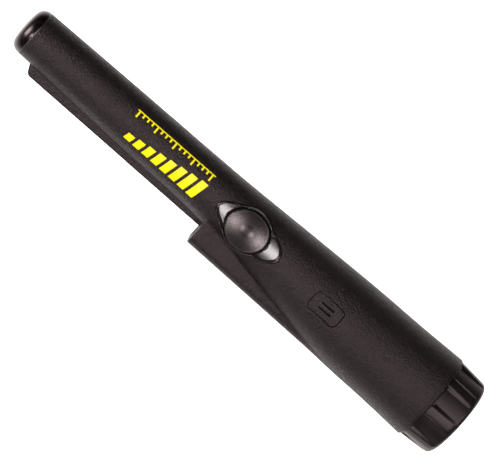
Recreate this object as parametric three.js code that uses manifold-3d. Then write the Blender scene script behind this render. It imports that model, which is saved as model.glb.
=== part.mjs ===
// A pinpointer probe: a hand-held metal detector that stands on its battery cap.
// Millimetres, +Z up along the handle to the nose, the push button towards -Y, the
// scraping blade and the lamp hood towards -X, the origin at the middle of the cap's face.
import * as THREE from "three";
import { mergeVertices } from "three/addons/utils/BufferGeometryUtils.js";
import Module from "manifold-3d";

const wasm = await Module();
wasm.setup();

// ---- driving dimensions ----

// The battery, a 9 V block.
const batteryWidth = 26.5;
const batteryDepth = 17.5;
const batteryBody = 46.4;
const batteryRound = 3;
const snapPitch = 12.7;
const snapHeight = 2.1;
const snapRadius = [2.85, 3.9];

// The battery cap and its quick thread.
const capHeight = 14.2;
const capRound = 3.1;
const capTaper = 0.85;
const capStep = 0.4;
const gripCount = 8;
const gripDepth = 1.0;
const gripRibAngle = 11.5;
const gripWallAngle = 3;
const gripBand = 1.4;
const gripTurn = -4;
const spigotLength = 6.6;
const spigotWall = 2.3;
const capFloor = 2.4;
const webThickness = 1.6;
const padThickness = 3.6;
const threadLead = 18;
const threadStarts = 3;
const threadArc = 50;
const threadDepth = 0.85;
const threadWidth = 1.5;
const ringRadius = 0.7;
const mouthDepth = 1.8;

// The housing: a handle, a cone and a tube, closed at the nose.
const wall = 2;
const handleWall = 2.8;
const mouthFlare = 1.1;
const coneLength = 66;
const tubeLength = 102.5;
const tubeRadius = 11.8;
const noseRadius = 10;
const noseRound = 4.4;
const noseCrown = 0.5;
const noseWall = 2.5;
const noseBevel = 2.5;
const tubeOffset = 3.3;

// The scraping blade and the lamp hood on the -X side, measured from the tube's axis.
const bladeThickness = 3;
const bladeFoot = 13.5;
const bladeTip = 14.1;
const bladeEnd = 10.9;
const bladeSlant = 3.1;
const hoodReach = 20.8;
const hoodWidth = 16;
const hoodRound = 4;
const hoodWall = 1.5;
const lampReach = 16.2;
const lensRadius = 2.4;
const lampRadius = 2.5;
const lampLength = 8.6;

// The push button and its eye-shaped bezel.
const buttonDrop = 14.1;
const buttonLength = 18.5;
const buttonWidth = 16.3;
const buttonRise = 1.0;
const buttonSkin = 1.5;
const buttonRim = 1.4;
const buttonDish = 0.5;
const buttonTravel = 0.6;
const eyeLength = 31.8;
const eyeWidth = 14.2;
const eyeShift = 0.65;
const collarWidth = 0.95;
const bezelFloor = 3.1;
const bossFloor = 1.5;
const gasketThickness = 0.4;

// The sounder behind its slotted port.
const portLength = 13.6;
const portWidth = 7.6;
const portRound = 1.8;
const portShift = 0.6;
const portDepth = 1.5;
const portLedge = 1;
const slotLength = 6.2;
const slotWidth = 1.3;
const slotPitch = 2.25;
const sounderRadius = 5.5;
const sounderHeight = 3;

// The chassis, the board and what they carry.
const bulkheadThickness = 1.8;
const shoulderStep = 1;
const boardThickness = 1.6;
const boardWidth = 14;
const boardFront = -1.4;
const spineWidth = 11;
const spineThickness = 1.6;
const screwHead = 1.65;
const screwRadius = 0.95;
const screwInset = 5;
const switchSide = 6;
const switchHeight = 3.5;
const switchFloor = 0.6;
const stemRadius = 1.7;
const stemReach = 1.3;
const motorRadius = 3;
const motorLength = 11;
const shaftRadius = 0.5;
const bootThickness = 0.7;
const ferriteLength = 56;
const formerLength = 46;
const formerWall = 0.9;
const flangeThickness = 1.2;
const flangeLip = 0.5;
const windingDepth = 1.35;
const leadRoom = 6;
const wireRadius = 0.45;

// Clearances.
const boreGap = 0.35;
const seamGap = 0.3;
const fitGap = 0.3;
const seatGap = 0.1;
const threadGap = 0.25;
const pocketGap = 0.25;

// ---- places that follow from them ----
const boreRadius =
  Math.hypot(batteryWidth / 2 - batteryRound, batteryDepth / 2 - batteryRound) + batteryRound + boreGap;
const handleRadius = boreRadius + handleWall;
const mouthRadius = handleRadius + mouthFlare;
const capRadius = mouthRadius - capStep;
const spigotTop = capHeight + spigotLength;
const spigotRadius = boreRadius - 0.2;
const batteryBottom = spigotTop + 0.4;
const batteryTop = batteryBottom + batteryBody;
const bulkheadBottom = batteryTop + 0.4;
const bulkheadTop = bulkheadBottom + bulkheadThickness;
const shoulder = bulkheadTop + fitGap;
const coneFoot = shoulder - 10;
const hoodFront = coneFoot + coneLength;
const nose = hoodFront + tubeLength;
const buttonHeight = hoodFront - buttonDrop;
const portHeight = shoulder - 0.8;
const chassisScrewY = batteryDepth / 2 + 0.5 + screwHead;
const chassisScrewX = Math.sqrt((boreRadius - fitGap - screwHead) ** 2 - chassisScrewY ** 2);
const noseInside = nose - noseWall;
const nosePadBottom = noseInside - 2.8;
const ferriteTop = nosePadBottom - fitGap;
const ferriteBottom = ferriteTop - ferriteLength;
const flangeRadius = noseRadius - wall - boreGap;
const windingInside = flangeRadius - flangeLip - windingDepth;
const ferriteRadius = windingInside - seatGap - formerWall - fitGap;
const formerTop = ferriteTop - 2;
const boardBack = boardFront + boardThickness;
const boardBottom = bulkheadTop + 8.2;
const boardTop = ferriteBottom - leadRoom;
const spineBack = boardBack + fitGap + spineThickness;
const motorPlace = [tubeOffset, spineBack + 1 + bootThickness + motorRadius];
const motorBottom = buttonHeight - 20;
const lampX = tubeOffset - lampReach;
const lampTop = hoodFront - 3.9;
const sounderBack = -batteryDepth / 2 - 0.85;

// ---- materials ----
function plastic(color, roughness) {
  return new THREE.MeshStandardMaterial({ color, roughness, metalness: 0 });
}
function metal(color, roughness) {
  return new THREE.MeshStandardMaterial({ color, roughness, metalness: 1 });
}
const blackShell = plastic(0x1c1b1b, 0.55);
const blackGloss = plastic(0x151515, 0.2);
const blackButton = plastic(0x242322, 0.5);
const rubber = plastic(0x161616, 0.85);
const foam = plastic(0x3a3a3c, 0.95);
const clear = plastic(0xe8f0f4, 0.08);
const boardGreen = plastic(0x1d5c38, 0.5);
const chipBlack = plastic(0x1a1a1c, 0.45);
const nylon = plastic(0xd9d5c8, 0.5);
const sleeve = plastic(0x2b3550, 0.4);
const ferrite = plastic(0x3b3c40, 0.6);
const steel = metal(0xb8bcc0, 0.3);
const nickel = metal(0xcfc9bd, 0.25);
const copper = metal(0xb0622f, 0.35);
const redWire = plastic(0xa82018, 0.5);
const blackWire = plastic(0x1a1a1a, 0.5);
const yellowWire = plastic(0xd8b020, 0.5);

// ---- solids ----

// A closed geometry as a solid that can be joined and cut.
function solid(geometry) {
  const bare = geometry.clone();
  bare.deleteAttribute("normal");
  bare.deleteAttribute("uv");
  const merged = mergeVertices(bare, 1e-4);
  const vertProperties = new Float32Array(merged.attributes.position.array);
  const triVerts = new Uint32Array(merged.index.array);
  return new wasm.Manifold(new wasm.Mesh({ numProp: 3, vertProperties, triVerts }));
}

// A solid's surface as a geometry for a mesh.
function surface(made) {
  const { vertProperties, triVerts } = made.getMesh();
  const geometry = new THREE.BufferGeometry();
  geometry.setAttribute("position", new THREE.BufferAttribute(vertProperties, 3));
  geometry.setIndex(new THREE.BufferAttribute(triVerts, 1));
  geometry.computeVertexNormals();
  return geometry;
}

// A box given by its lowest and highest corners.
function box(low, high) {
  const size = high.map((value, axis) => value - low[axis]);
  const middle = high.map((value, axis) => (value + low[axis]) / 2);
  return solid(new THREE.BoxGeometry(...size).translate(...middle));
}

// A profile of [radius, height] pairs turned about a vertical line at x, y.
function turned(profile, segments, x = 0, y = 0) {
  const points = profile.map(([radius, height]) => new THREE.Vector2(radius, height));
  const geometry = new THREE.LatheGeometry(points, segments).rotateX(Math.PI / 2);
  return solid(geometry.translate(x, y, 0));
}

// An upright round bar.
function bar(radius, bottom, top, segments, x = 0, y = 0) {
  return turned([[0, bottom], [radius, bottom], [radius, top], [0, top]], segments, x, y);
}

// An outline in X and Y made into a slab between two heights.
function slab(shape, bottom, top, curveSegments = 6) {
  const settings = { depth: top - bottom, bevelEnabled: false, curveSegments };
  return solid(new THREE.ExtrudeGeometry(shape, settings).translate(0, 0, bottom));
}

// An outline in X and Z made into a slab between two values of Y.
function slabAlongY(shape, front, back, curveSegments = 6) {
  const settings = { depth: back - front, bevelEnabled: false, curveSegments };
  const geometry = new THREE.ExtrudeGeometry(shape, settings).rotateX(Math.PI / 2);
  return solid(geometry.translate(0, back, 0));
}

// A round bar along Y.
function pinAlongY(radius, front, back, x, z, segments) {
  return slabAlongY(ellipse(x, z, radius, radius), front, back, segments / 2);
}

function ellipse(x, z, halfX, halfZ) {
  return new THREE.Shape().absellipse(x, z, halfX, halfZ, 0, 2 * Math.PI, false, 0);
}

function roundedRectangle(x, z, width, height, radius) {
  const left = x - width / 2;
  const right = x + width / 2;
  const low = z - height / 2;
  const high = z + height / 2;
  const shape = new THREE.Shape();
  shape.moveTo(left + radius, low);
  shape.lineTo(right - radius, low);
  shape.absarc(right - radius, low + radius, radius, -Math.PI / 2, 0, false);
  shape.absarc(right - radius, high - radius, radius, 0, Math.PI / 2, false);
  shape.absarc(left + radius, high - radius, radius, Math.PI / 2, Math.PI, false);
  shape.absarc(left + radius, low + radius, radius, Math.PI, 1.5 * Math.PI, false);
  return shape;
}

// The bezel's outline: a long ellipse that stands a little closer to the cap than the button.
function eye(x, z, width, length) {
  return ellipse(x, z - eyeShift, width / 2, length / 2);
}

// A wire through a list of points.
function wire(points, radius, steps = 9) {
  const path = new THREE.CatmullRomCurve3(points.map((point) => new THREE.Vector3(...point)));
  const section = new THREE.Shape().absarc(0, 0, radius, 0, 2 * Math.PI, false);
  return solid(new THREE.ExtrudeGeometry(section, { extrudePath: path, steps, curveSegments: 3 }));
}

function joined(solids) {
  return solids.reduce((whole, next) => whole.add(next));
}

// ---- the housing's outside ----

// Each section is a circle: its radius, how far its centre stands from the handle's axis
// towards +X, and its height. The handle's sections are centred on x = 0 and the tube's on
// the tube's axis.
function housingSections() {
  const sections = [
    [mouthRadius, 0, capHeight],
    [handleRadius + 0.35, 0, capHeight + 21],
    [handleRadius, 0, coneFoot - 4],
    [0.51 * handleRadius + 0.49 * tubeRadius, 0.48 * tubeOffset, coneFoot + coneLength / 2],
    [tubeRadius, tubeOffset, hoodFront],
    [0.5 * tubeRadius + 0.5 * noseRadius, tubeOffset, hoodFront + tubeLength / 2],
    [noseRadius, tubeOffset, nose - noseCrown - noseRound],
  ];
  const points = sections.map((section) => new THREE.Vector3(...section));
  return new THREE.CatmullRomCurve3(points, false, "centripetal").getPoints(15);
}
const sections = housingSections();

// The outside's radius and centre at a height.
function sectionAt(height) {
  const top = sections.length - 1;
  const found = sections.findIndex((section) => section.z >= height);
  const above = THREE.MathUtils.clamp(found < 0 ? top : found, 1, top);
  const upper = sections[above];
  const lower = sections[above - 1];
  const share = THREE.MathUtils.clamp((height - lower.z) / (upper.z - lower.z), 0, 1);
  return {
    radius: THREE.MathUtils.lerp(lower.x, upper.x, share),
    x: THREE.MathUtils.lerp(lower.y, upper.y, share),
  };
}

// A profile turned about the housing's own bent axis.
function turnedOnAxis(profile, segments) {
  const points = profile.map(([radius, height]) => new THREE.Vector2(radius, height));
  const geometry = new THREE.LatheGeometry(points, segments).rotateX(Math.PI / 2);
  const position = geometry.attributes.position;
  for (let i = 0; i < position.count; i += 1) {
    position.setX(i, position.getX(i) + sectionAt(position.getZ(i)).x);
  }
  return solid(geometry);
}

// The outside surface moved in or out by an amount, as a solid.
function outside(grow, segments) {
  const flank = sections.map((section) => [section.x + grow, section.z]);
  const middle = nose - noseCrown - noseRound;
  const flat = noseRadius - noseRound;
  const round = [20, 40, 60, 78].map((degrees) => {
    const angle = THREE.MathUtils.degToRad(degrees);
    const radius = noseRound + grow;
    return [flat + radius * Math.cos(angle), middle + radius * Math.sin(angle)];
  });
  return turnedOnAxis([[0, capHeight], ...flank, ...round, [0, nose + grow]], segments);
}

function hood() {
  const left = tubeOffset - hoodReach;
  const width = hoodReach;
  const shape = roundedRectangle(left + width / 2, 0, width, hoodWidth, hoodRound);
  return slab(shape, capHeight + 24, hoodFront);
}

function blade() {
  const foot = tubeOffset - bladeFoot;
  const tip = tubeOffset - bladeTip;
  const end = nose - bladeEnd;
  const shape = new THREE.Shape();
  shape.moveTo(tubeOffset, hoodFront - 1);
  shape.lineTo(foot, hoodFront - 1);
  shape.lineTo(tip, end - bladeSlant - 1);
  shape.quadraticCurveTo(tip, end - bladeSlant + 0.6, tip + 1.4, end - bladeSlant + 1.2);
  shape.lineTo(tubeOffset - noseRadius + 0.6, end);
  shape.lineTo(tubeOffset, end);
  return slabAlongY(shape, -bladeThickness / 2, bladeThickness / 2);
}

// ---- the housing's inside ----

function cavity() {
  const above = sections
    .filter((section) => section.z > shoulder + 1 && section.z < noseInside - 6)
    .map((section) => [Math.min(section.x - wall, boreRadius - shoulderStep), section.z]);
  const first = Math.min(sectionAt(shoulder).radius - wall, boreRadius - shoulderStep);
  const last = noseRadius - wall;
  const room = turnedOnAxis(
    [[0, shoulder - 0.5], [first, shoulder - 0.5], ...above, [last, noseInside - noseBevel],
      [last - noseBevel, noseInside], [0, noseInside]],
    28,
  );
  const bossFace = buttonY() + bezelFloor + bossFloor;
  const halfWidth = buttonWidth / 2 + 4;
  const boss = box(
    [buttonX() - halfWidth, -2 * handleRadius, buttonHeight - eyeLength / 2 - 3],
    [buttonX() + halfWidth, bossFace, buttonHeight + eyeLength / 2 + 2],
  );
  const bore = bar(boreRadius, capHeight - 1, shoulder, 40);
  return room.subtract(boss).add(bore).add(hoodCavity());
}

function hoodCavity() {
  const left = tubeOffset - hoodReach + hoodWall;
  const right = tubeOffset - tubeRadius + wall + 2;
  const width = right - left;
  const across = hoodWidth - 2 * hoodWall;
  const shape = roundedRectangle(left + width / 2, 0, width, across, hoodRound - hoodWall);
  return slab(shape, hoodFront - 0.66 * coneLength, hoodFront - 2);
}

// The front of the housing at the button, and the button's middle.
function buttonX() {
  return sectionAt(buttonHeight).x;
}
function buttonY() {
  return -sectionAt(buttonHeight).radius;
}
function portX() {
  return sectionAt(portHeight).x + portShift;
}
function portY() {
  return -sectionAt(portHeight).radius;
}

// A thread ridge or groove: a trapezoid swept up a helix from a height and an angle.
function helix(bottomHeight, startAngle, arc, inner, outer, rootWidth, crestWidth) {
  const shape = new THREE.Shape();
  shape.moveTo(inner, -rootWidth / 2);
  shape.lineTo(outer, -crestWidth / 2);
  shape.lineTo(outer, crestWidth / 2);
  shape.lineTo(inner, rootWidth / 2);
  const steps = Math.ceil(arc / 7.5);
  const geometry = new THREE.ExtrudeGeometry(shape, { depth: 1, steps, bevelEnabled: false });
  const position = geometry.attributes.position;
  for (let i = 0; i < position.count; i += 1) {
    const turn = -position.getZ(i) * arc;
    const angle = THREE.MathUtils.degToRad(startAngle + arc + turn);
    const radius = position.getX(i);
    const height = position.getY(i) + bottomHeight + ((arc + turn) / 360) * threadLead;
    position.setXYZ(i, radius * Math.cos(angle), radius * Math.sin(angle), height);
  }
  return solid(geometry);
}

const threadBottom = capHeight + 3.1;
const threadCrest = spigotRadius + threadDepth;

function threadAngles() {
  return Array.from({ length: threadStarts }, (_, i) => (i * 360) / threadStarts);
}

function threadGrooves() {
  const early = 60;
  const height = threadBottom - (early / 360) * threadLead;
  const width = threadWidth + 2 * threadGap;
  const outer = threadCrest + threadGap;
  const arc = early + threadArc + 3;
  const root = width + 0.4;
  const crest = width - 0.5;
  return joined(
    threadAngles().map((start) => helix(height, start - early, arc, boreRadius - 1, outer, root, crest)),
  );
}

function threadRidges() {
  const inner = spigotRadius - 1;
  const root = threadWidth + 0.3;
  const crest = threadWidth - 0.5;
  return joined(
    threadAngles().map((start) => helix(threadBottom, start, threadArc, inner, threadCrest, root, crest)),
  );
}

function bosses() {
  const height = shoulder + 9;
  return joined([-1, 1].map((side) => bar(2.4, shoulder, height, 16, side * chassisScrewX, chassisScrewY)));
}

function bossHoles() {
  const radius = screwRadius + fitGap;
  const height = shoulder + 7.6;
  return joined(
    [-1, 1].map((side) => bar(radius, shoulder - 1, height, 12, side * chassisScrewX, chassisScrewY)),
  );
}

// The button's oval, grown or shrunk by an amount.
function buttonOval(grow) {
  return ellipse(buttonX(), buttonHeight, buttonWidth / 2 + grow, buttonLength / 2 + grow);
}

function buttonOpening() {
  const hole = buttonOval(fitGap);
  const tabs = roundedRectangle(buttonX(), buttonHeight, 6 + 2 * fitGap, buttonLength + 3.6, 1);
  const bossFace = buttonY() + bezelFloor + bossFloor;
  const room = slabAlongY(tabs, bossFace - 0.01, bossFace + 3);
  return slabAlongY(hole, 3 * buttonY(), bossFace + 3, 16).add(room);
}

function bezelPocket(gap) {
  const floor = buttonY() + bezelFloor;
  const outline = eye(buttonX(), buttonHeight, eyeWidth + 2 * gap, eyeLength + 2 * gap);
  const collar = slabAlongY(buttonOval(collarWidth + gap), 3 * buttonY(), floor, 16);
  return slabAlongY(outline, 3 * buttonY(), floor, 16).add(collar);
}

function portOpening() {
  const pocket = roundedRectangle(
    portX(), portHeight, portWidth + 2 * fitGap, portLength + 2 * fitGap, portRound + fitGap);
  const through = roundedRectangle(
    portX(), portHeight, portWidth - 2 * portLedge, portLength - 2 * portLedge, portRound - 0.8);
  const floor = portY() + portDepth + 0.25;
  const way = slabAlongY(through, 3 * portY(), -batteryDepth / 2, 3);
  return slabAlongY(pocket, 3 * portY(), floor, 3).add(way);
}

// The round seat that the sounder stands in.
function sounderSeat() {
  const front = sounderBack - sounderHeight - fitGap;
  return pinAlongY(sounderRadius + fitGap, front, 0, portX(), portHeight, 24);
}

function housing() {
  const mouth = bar(mouthRadius - 1.6, capHeight - 1, capHeight + mouthDepth, 40);
  const lampHole = bar(lensRadius + fitGap, hoodFront - 3, hoodFront + 1, 20, lampX);
  const inside = cavity().subtract(bosses()).add(bossHoles());
  const openings = [lampHole, buttonOpening(), bezelPocket(pocketGap), portOpening(), sounderSeat()];
  const cuts = [inside, mouth, threadGrooves(), ...openings];
  const whole = outside(0, 40).add(hood()).add(blade());
  return cuts.reduce((rest, cut) => rest.subtract(cut), whole);
}

// ---- the battery cap ----

function gripChannels() {
  const step = (2 * Math.PI) / gripCount;
  const rib = THREE.MathUtils.degToRad(gripRibAngle) / 2;
  const slope = THREE.MathUtils.degToRad(gripWallAngle);
  const outer = capRadius + 2;
  const floor = capRadius - gripDepth - 0.3;
  const turn = THREE.MathUtils.degToRad(gripTurn);
  const channels = Array.from({ length: gripCount }, (_, i) => {
    const from = turn + i * step + rib;
    const to = turn + (i + 1) * step - rib;
    const shape = new THREE.Shape();
    shape.moveTo(outer * Math.cos(from), outer * Math.sin(from));
    shape.lineTo(outer * Math.cos(to), outer * Math.sin(to));
    shape.absarc(0, 0, floor, to - slope, from + slope, true);
    return slab(shape, -1, capHeight - gripBand, 4);
  });
  return joined(channels);
}

function batteryCap() {
  const top = capHeight - seamGap;
  const end = capRadius - capTaper;
  const corner = [0, 30, 60].map((degrees) => {
    const angle = THREE.MathUtils.degToRad(degrees - 90);
    return [end - capRound + capRound * Math.cos(angle), capRound + capRound * Math.sin(angle)];
  });
  const neck = boreRadius + 0.6;
  const root = spigotRadius;
  const hollow = root - spigotWall;
  const neckTop = capHeight + mouthDepth - fitGap;
  const shell = turned(
    [[0, 0], ...corner, [end, capRound], [capRadius, top], [neck, top], [neck, neckTop], [root, neckTop],
      [root, spigotTop - 0.5], [root - 0.5, spigotTop], [hollow, spigotTop],
      [hollow, capFloor], [0, capFloor]],
    40,
  );
  const webTop = spigotTop - padThickness - seatGap;
  const half = webThickness / 2;
  const reach = hollow + 0.6;
  const webs = box([-reach, -half, capFloor - 0.5], [reach, half, webTop]).add(
    box([-half, -reach, capFloor - 0.5], [half, reach, webTop]),
  );
  return shell.add(webs).add(threadRidges()).subtract(gripChannels());
}

function capRing() {
  const middle = capHeight + mouthDepth / 2;
  const major = boreRadius + 0.7 + ringRadius;
  const torus = new THREE.TorusGeometry(major, ringRadius, 6, 36);
  return solid(torus.translate(0, 0, middle));
}

function batteryPad() {
  const radius = spigotRadius - spigotWall - fitGap;
  return bar(radius, spigotTop - padThickness, spigotTop, 28);
}

// ---- the battery and its contacts ----

function battery() {
  const shape = roundedRectangle(0, 0, batteryWidth, batteryDepth, batteryRound);
  return slab(shape, batteryBottom, batteryTop - seatGap);
}

function snap(side) {
  const radius = snapRadius[side > 0 ? 1 : 0];
  return bar(radius, batteryTop, batteryTop + snapHeight, side > 0 ? 6 : 16, (side * snapPitch) / 2);
}

function contact(side) {
  const x = (side * snapPitch) / 2;
  const bottom = bulkheadTop + seatGap;
  const plate = bar(4.3, bottom, bottom + 0.4, 16, x);
  const tab = box([x - 1.2, -4, bottom], [x + 1.2, -3.6, bottom + 4]);
  return plate.add(tab);
}

// ---- the chassis and the board ----

function chassis() {
  const bulkhead = bar(boreRadius - fitGap, bulkheadBottom, bulkheadTop, 40);
  const holes = [-1, 1].map((side) =>
    bar(screwRadius + fitGap, bulkheadBottom - 1, shoulder, 12, side * chassisScrewX, chassisScrewY),
  );
  const windows = [-1, 1].map((side) =>
    bar(snapRadius[1] + 0.5, bulkheadBottom - 1, shoulder, 20, (side * snapPitch) / 2),
  );
  const notchX = portX();
  const notchHalf = sounderRadius + 0.6;
  const notch = box(
    [notchX - notchHalf, -2 * boreRadius, bulkheadBottom - 1],
    [notchX + notchHalf, -batteryDepth / 2 - 0.4, shoulder],
  );
  const left = tubeOffset - spineWidth / 2;
  const right = tubeOffset + spineWidth / 2;
  const front = boardBack + fitGap;
  const foot = box([left, 5.2, bulkheadTop - 0.5], [right, 7, bulkheadTop + 6.2]);
  const web = box([left, front, bulkheadTop + 4.4], [right, 7, bulkheadTop + 6.2]);
  const spine = box([left, front, bulkheadTop + 4.4], [right, spineBack, boardTop]);
  const cradles = [2, 7].map((height) =>
    box(
      [tubeOffset - 3.4, spineBack - 0.2, motorBottom + height],
      [tubeOffset + 3.4, motorPlace[1] - motorRadius + 1, motorBottom + height + 1.2],
    ),
  );
  const bootRadius = motorRadius + bootThickness + fitGap;
  const boot = bar(bootRadius, motorBottom, motorBottom + motorLength, 20, ...motorPlace);
  const screwHoles = boardScrewHeights().map((height) =>
    pinAlongY(screwRadius + fitGap, front - 1, spineBack + 1, tubeOffset, height, 12),
  );
  const plate = joined([bulkhead, foot, web, spine, ...cradles]);
  const cuts = [...holes, ...windows, notch, boot, ...screwHoles];
  return cuts.reduce((rest, cut) => rest.subtract(cut), plate);
}

function boardScrewHeights() {
  return [boardBottom + screwInset, boardTop - screwInset];
}

function mainBoard() {
  const left = tubeOffset - boardWidth / 2;
  const shape = roundedRectangle(left + boardWidth / 2, (boardTop + boardBottom) / 2, boardWidth,
    boardTop - boardBottom, 1);
  const holes = boardScrewHeights().map((height) =>
    pinAlongY(screwRadius + fitGap, boardFront - 1, boardBack + 1, tubeOffset, height, 12),
  );
  return holes.reduce((rest, hole) => rest.subtract(hole), slabAlongY(shape, boardFront, boardBack, 3));
}

function boardScrew(height) {
  const head = pinAlongY(screwHead, boardFront - 1.4, boardFront - seatGap, tubeOffset, height, 14);
  const shank = pinAlongY(screwRadius, boardFront - 0.5, spineBack + 0.6, tubeOffset, height, 12);
  return head.add(shank);
}

function chassisScrew(side) {
  const x = side * chassisScrewX;
  const head = bar(screwHead, bulkheadBottom - 1.3, bulkheadBottom - seatGap, 14, x, chassisScrewY);
  return head.add(bar(screwRadius, bulkheadBottom - 0.5, shoulder + 6.6, 12, x, chassisScrewY));
}

// A component on the board's front: width, height and thickness, at a place on the board.
function chip(x, height, width, tall, thickness) {
  const face = boardFront - seatGap;
  const left = tubeOffset + x - width / 2;
  const bottom = height - tall / 2;
  return box([left, face - thickness, bottom], [left + width, face, bottom + tall]);
}

// A height on the board: 0 is the button and 1 the upper screw.
function boardPlace(share) {
  return THREE.MathUtils.lerp(buttonHeight, boardTop - screwInset, share);
}

function capacitor(x, height, radius, tall) {
  const face = boardFront - seatGap;
  return pinAlongY(radius, face - tall, face, tubeOffset + x, height, 16);
}

function switchBody() {
  const face = boardFront - seatGap;
  const side = switchSide / 2;
  const x = buttonX();
  const top = face - switchHeight;
  const body = box([x - side, top, buttonHeight - side], [x + side, face, buttonHeight + side]);
  const well = pinAlongY(stemRadius + fitGap, top - 1, face - switchFloor, x, buttonHeight, 16);
  return body.subtract(well);
}

function switchStem() {
  const face = boardFront - seatGap;
  const inner = face - switchFloor - buttonTravel - fitGap;
  return pinAlongY(stemRadius, face - switchHeight - stemReach, inner, buttonX(), buttonHeight, 16);
}

// ---- the button and its bezel ----

function button() {
  const top = buttonY() - buttonRise;
  const x = buttonX();
  const bottom = buttonY() + bezelFloor + bossFloor + 1.6;
  const body = slabAlongY(buttonOval(0), top, bottom, 16);
  const stemTop = boardFront - seatGap - switchHeight - stemReach;
  const post = pinAlongY(2.2, top + 1.4, stemTop - seatGap, x, buttonHeight, 16);
  const tabTop = buttonY() + bezelFloor + bossFloor + fitGap;
  const tabs = slabAlongY(roundedRectangle(x, buttonHeight, 6, buttonLength + 2.6, 1), tabTop, bottom, 3);
  return body
    .add(tabs)
    .subtract(slabAlongY(buttonOval(-buttonRim), top - 1, top + buttonDish, 14))
    .subtract(slabAlongY(buttonOval(-buttonSkin), top + 2, bottom + 1, 14))
    .add(post);
}

function buttonSpring() {
  const bottom = boardFront - 0.5;
  const top = buttonY() - buttonRise + 2 + 0.5;
  const turns = 4;
  const radius = 4.9;
  const points = [];
  for (let i = 0; i <= turns * 10; i += 1) {
    const angle = (i / 10) * 2 * Math.PI;
    const y = THREE.MathUtils.lerp(bottom, top, i / (turns * 10));
    points.push([buttonX() + radius * Math.cos(angle), y, buttonHeight + radius * Math.sin(angle)]);
  }
  return wire(points, 0.3, turns * 12);
}

function bezel() {
  const floor = buttonY() + bezelFloor - gasketThickness - 2 * seatGap;
  const x = buttonX();
  const outline = slabAlongY(eye(x, buttonHeight, eyeWidth, eyeLength), 3 * buttonY(), floor, 16);
  const collar = slabAlongY(buttonOval(collarWidth), buttonY() - 0.2, floor, 16);
  const skin = outline.intersect(outside(-0.15, 48));
  return skin.add(collar).subtract(slabAlongY(buttonOval(fitGap), 3 * buttonY(), 0, 16));
}

function bezelGasket() {
  const back = buttonY() + bezelFloor - seatGap;
  const x = buttonX();
  const outline = eye(x, buttonHeight, eyeWidth - 0.6, eyeLength - 1.2);
  const front = back - gasketThickness;
  return slabAlongY(outline, front, back, 14)
    .add(slabAlongY(buttonOval(collarWidth - 0.1), front, back, 14))
    .subtract(slabAlongY(buttonOval(fitGap), 3 * buttonY(), 0, 16));
}

// ---- the sounder and its port ----

function sounderGrille() {
  const x = portX();
  const outline = roundedRectangle(x, portHeight, portWidth, portLength, portRound);
  const body = slabAlongY(outline, 3 * portY(), portY() + portDepth, 3).intersect(outside(-0.1, 48));
  const slots = [-1, 1].map((side) =>
    slabAlongY(
      roundedRectangle(x + (side * slotPitch) / 2, portHeight, slotWidth, slotLength, slotWidth / 2 - 0.01),
      3 * portY(),
      0,
      3,
    ),
  );
  return slots.reduce((rest, slot) => rest.subtract(slot), body);
}

function sounderMesh() {
  const shape = roundedRectangle(
    portX(), portHeight, portWidth - 2 * portLedge - 0.4, portLength - 2 * portLedge - 0.4, portRound - 1);
  const front = portY() + portDepth + 0.35;
  return slabAlongY(shape, front, front + 0.3, 3);
}

function sounder() {
  const front = sounderBack - sounderHeight;
  const can = pinAlongY(sounderRadius, front, sounderBack, portX(), portHeight, 24);
  return can.subtract(pinAlongY(1, front - 1, front + 0.8, portX(), portHeight, 10));
}

// ---- the lamp ----

function lampLens() {
  const bottom = hoodFront - 2 - seatGap - 1.2;
  return turned(
    [[0, bottom], [lensRadius + 0.5, bottom], [lensRadius + 0.5, bottom + 1.2], [lensRadius, bottom + 1.2],
      [lensRadius, hoodFront - 0.3], [0, hoodFront - 0.3]],
    20,
    lampX,
  );
}

function lamp() {
  const bottom = lampTop - lampLength;
  const dome = [90, 62, 35, 0].map((degrees) => {
    const angle = THREE.MathUtils.degToRad(degrees);
    return [lampRadius * Math.sin(angle), lampTop - lampRadius + lampRadius * Math.cos(angle)];
  });
  const flange = lampRadius + 0.4;
  return turned(
    [[0, bottom], [flange, bottom], [flange, bottom + 1], [lampRadius, bottom + 1], ...dome],
    16,
    lampX,
  );
}

function lampLead(side) {
  const bottom = lampTop - lampLength - seatGap;
  const x = lampX + side * 1.27;
  const boardEdge = tubeOffset - boardWidth / 2;
  const face = boardFront - seatGap - wireRadius;
  const landing = bottom - 12 + 1.5 * side;
  const route = [[x, 0, bottom], [x, 0, bottom - 5], [boardEdge - 1, face - 0.6, landing + 0.6]];
  return wire([...route, [boardEdge + 1.8, face, landing]], wireRadius - seatGap);
}

// ---- the coils at the nose ----

function ferriteRod() {
  return bar(ferriteRadius, ferriteBottom, ferriteTop, 20);
}

function onTubeAxis(made) {
  return made.translate([tubeOffset, 0, 0]);
}

function coilFormer() {
  const bottom = formerTop - formerLength;
  const inner = ferriteRadius + fitGap;
  const core = inner + formerWall;
  const rim = flangeRadius;
  const middle = (formerTop + bottom) / 2;
  const half = flangeThickness / 2;
  return turned(
    [[inner, bottom], [rim, bottom], [rim, bottom + flangeThickness], [core, bottom + flangeThickness],
      [core, middle - half], [rim, middle - half], [rim, middle + half], [core, middle + half],
      [core, formerTop - flangeThickness], [rim, formerTop - flangeThickness], [rim, formerTop],
      [inner, formerTop], [inner, bottom]],
    22,
  );
}

// One winding between two flanges of the former; bay 0 is the lower one.
function winding(bay) {
  const length = (formerLength - 3 * flangeThickness) / 2;
  const bottom = formerTop - formerLength + flangeThickness + bay * (length + flangeThickness) + seatGap;
  const top = bottom + length - 2 * seatGap;
  const outer = flangeRadius - flangeLip;
  return turned(
    [[windingInside, bottom], [outer, bottom], [outer, top], [windingInside, top], [windingInside, bottom]],
    24,
  );
}

function nosePad() {
  return bar(noseRadius - wall - noseBevel - fitGap, nosePadBottom, noseInside - seatGap, 24);
}

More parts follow.
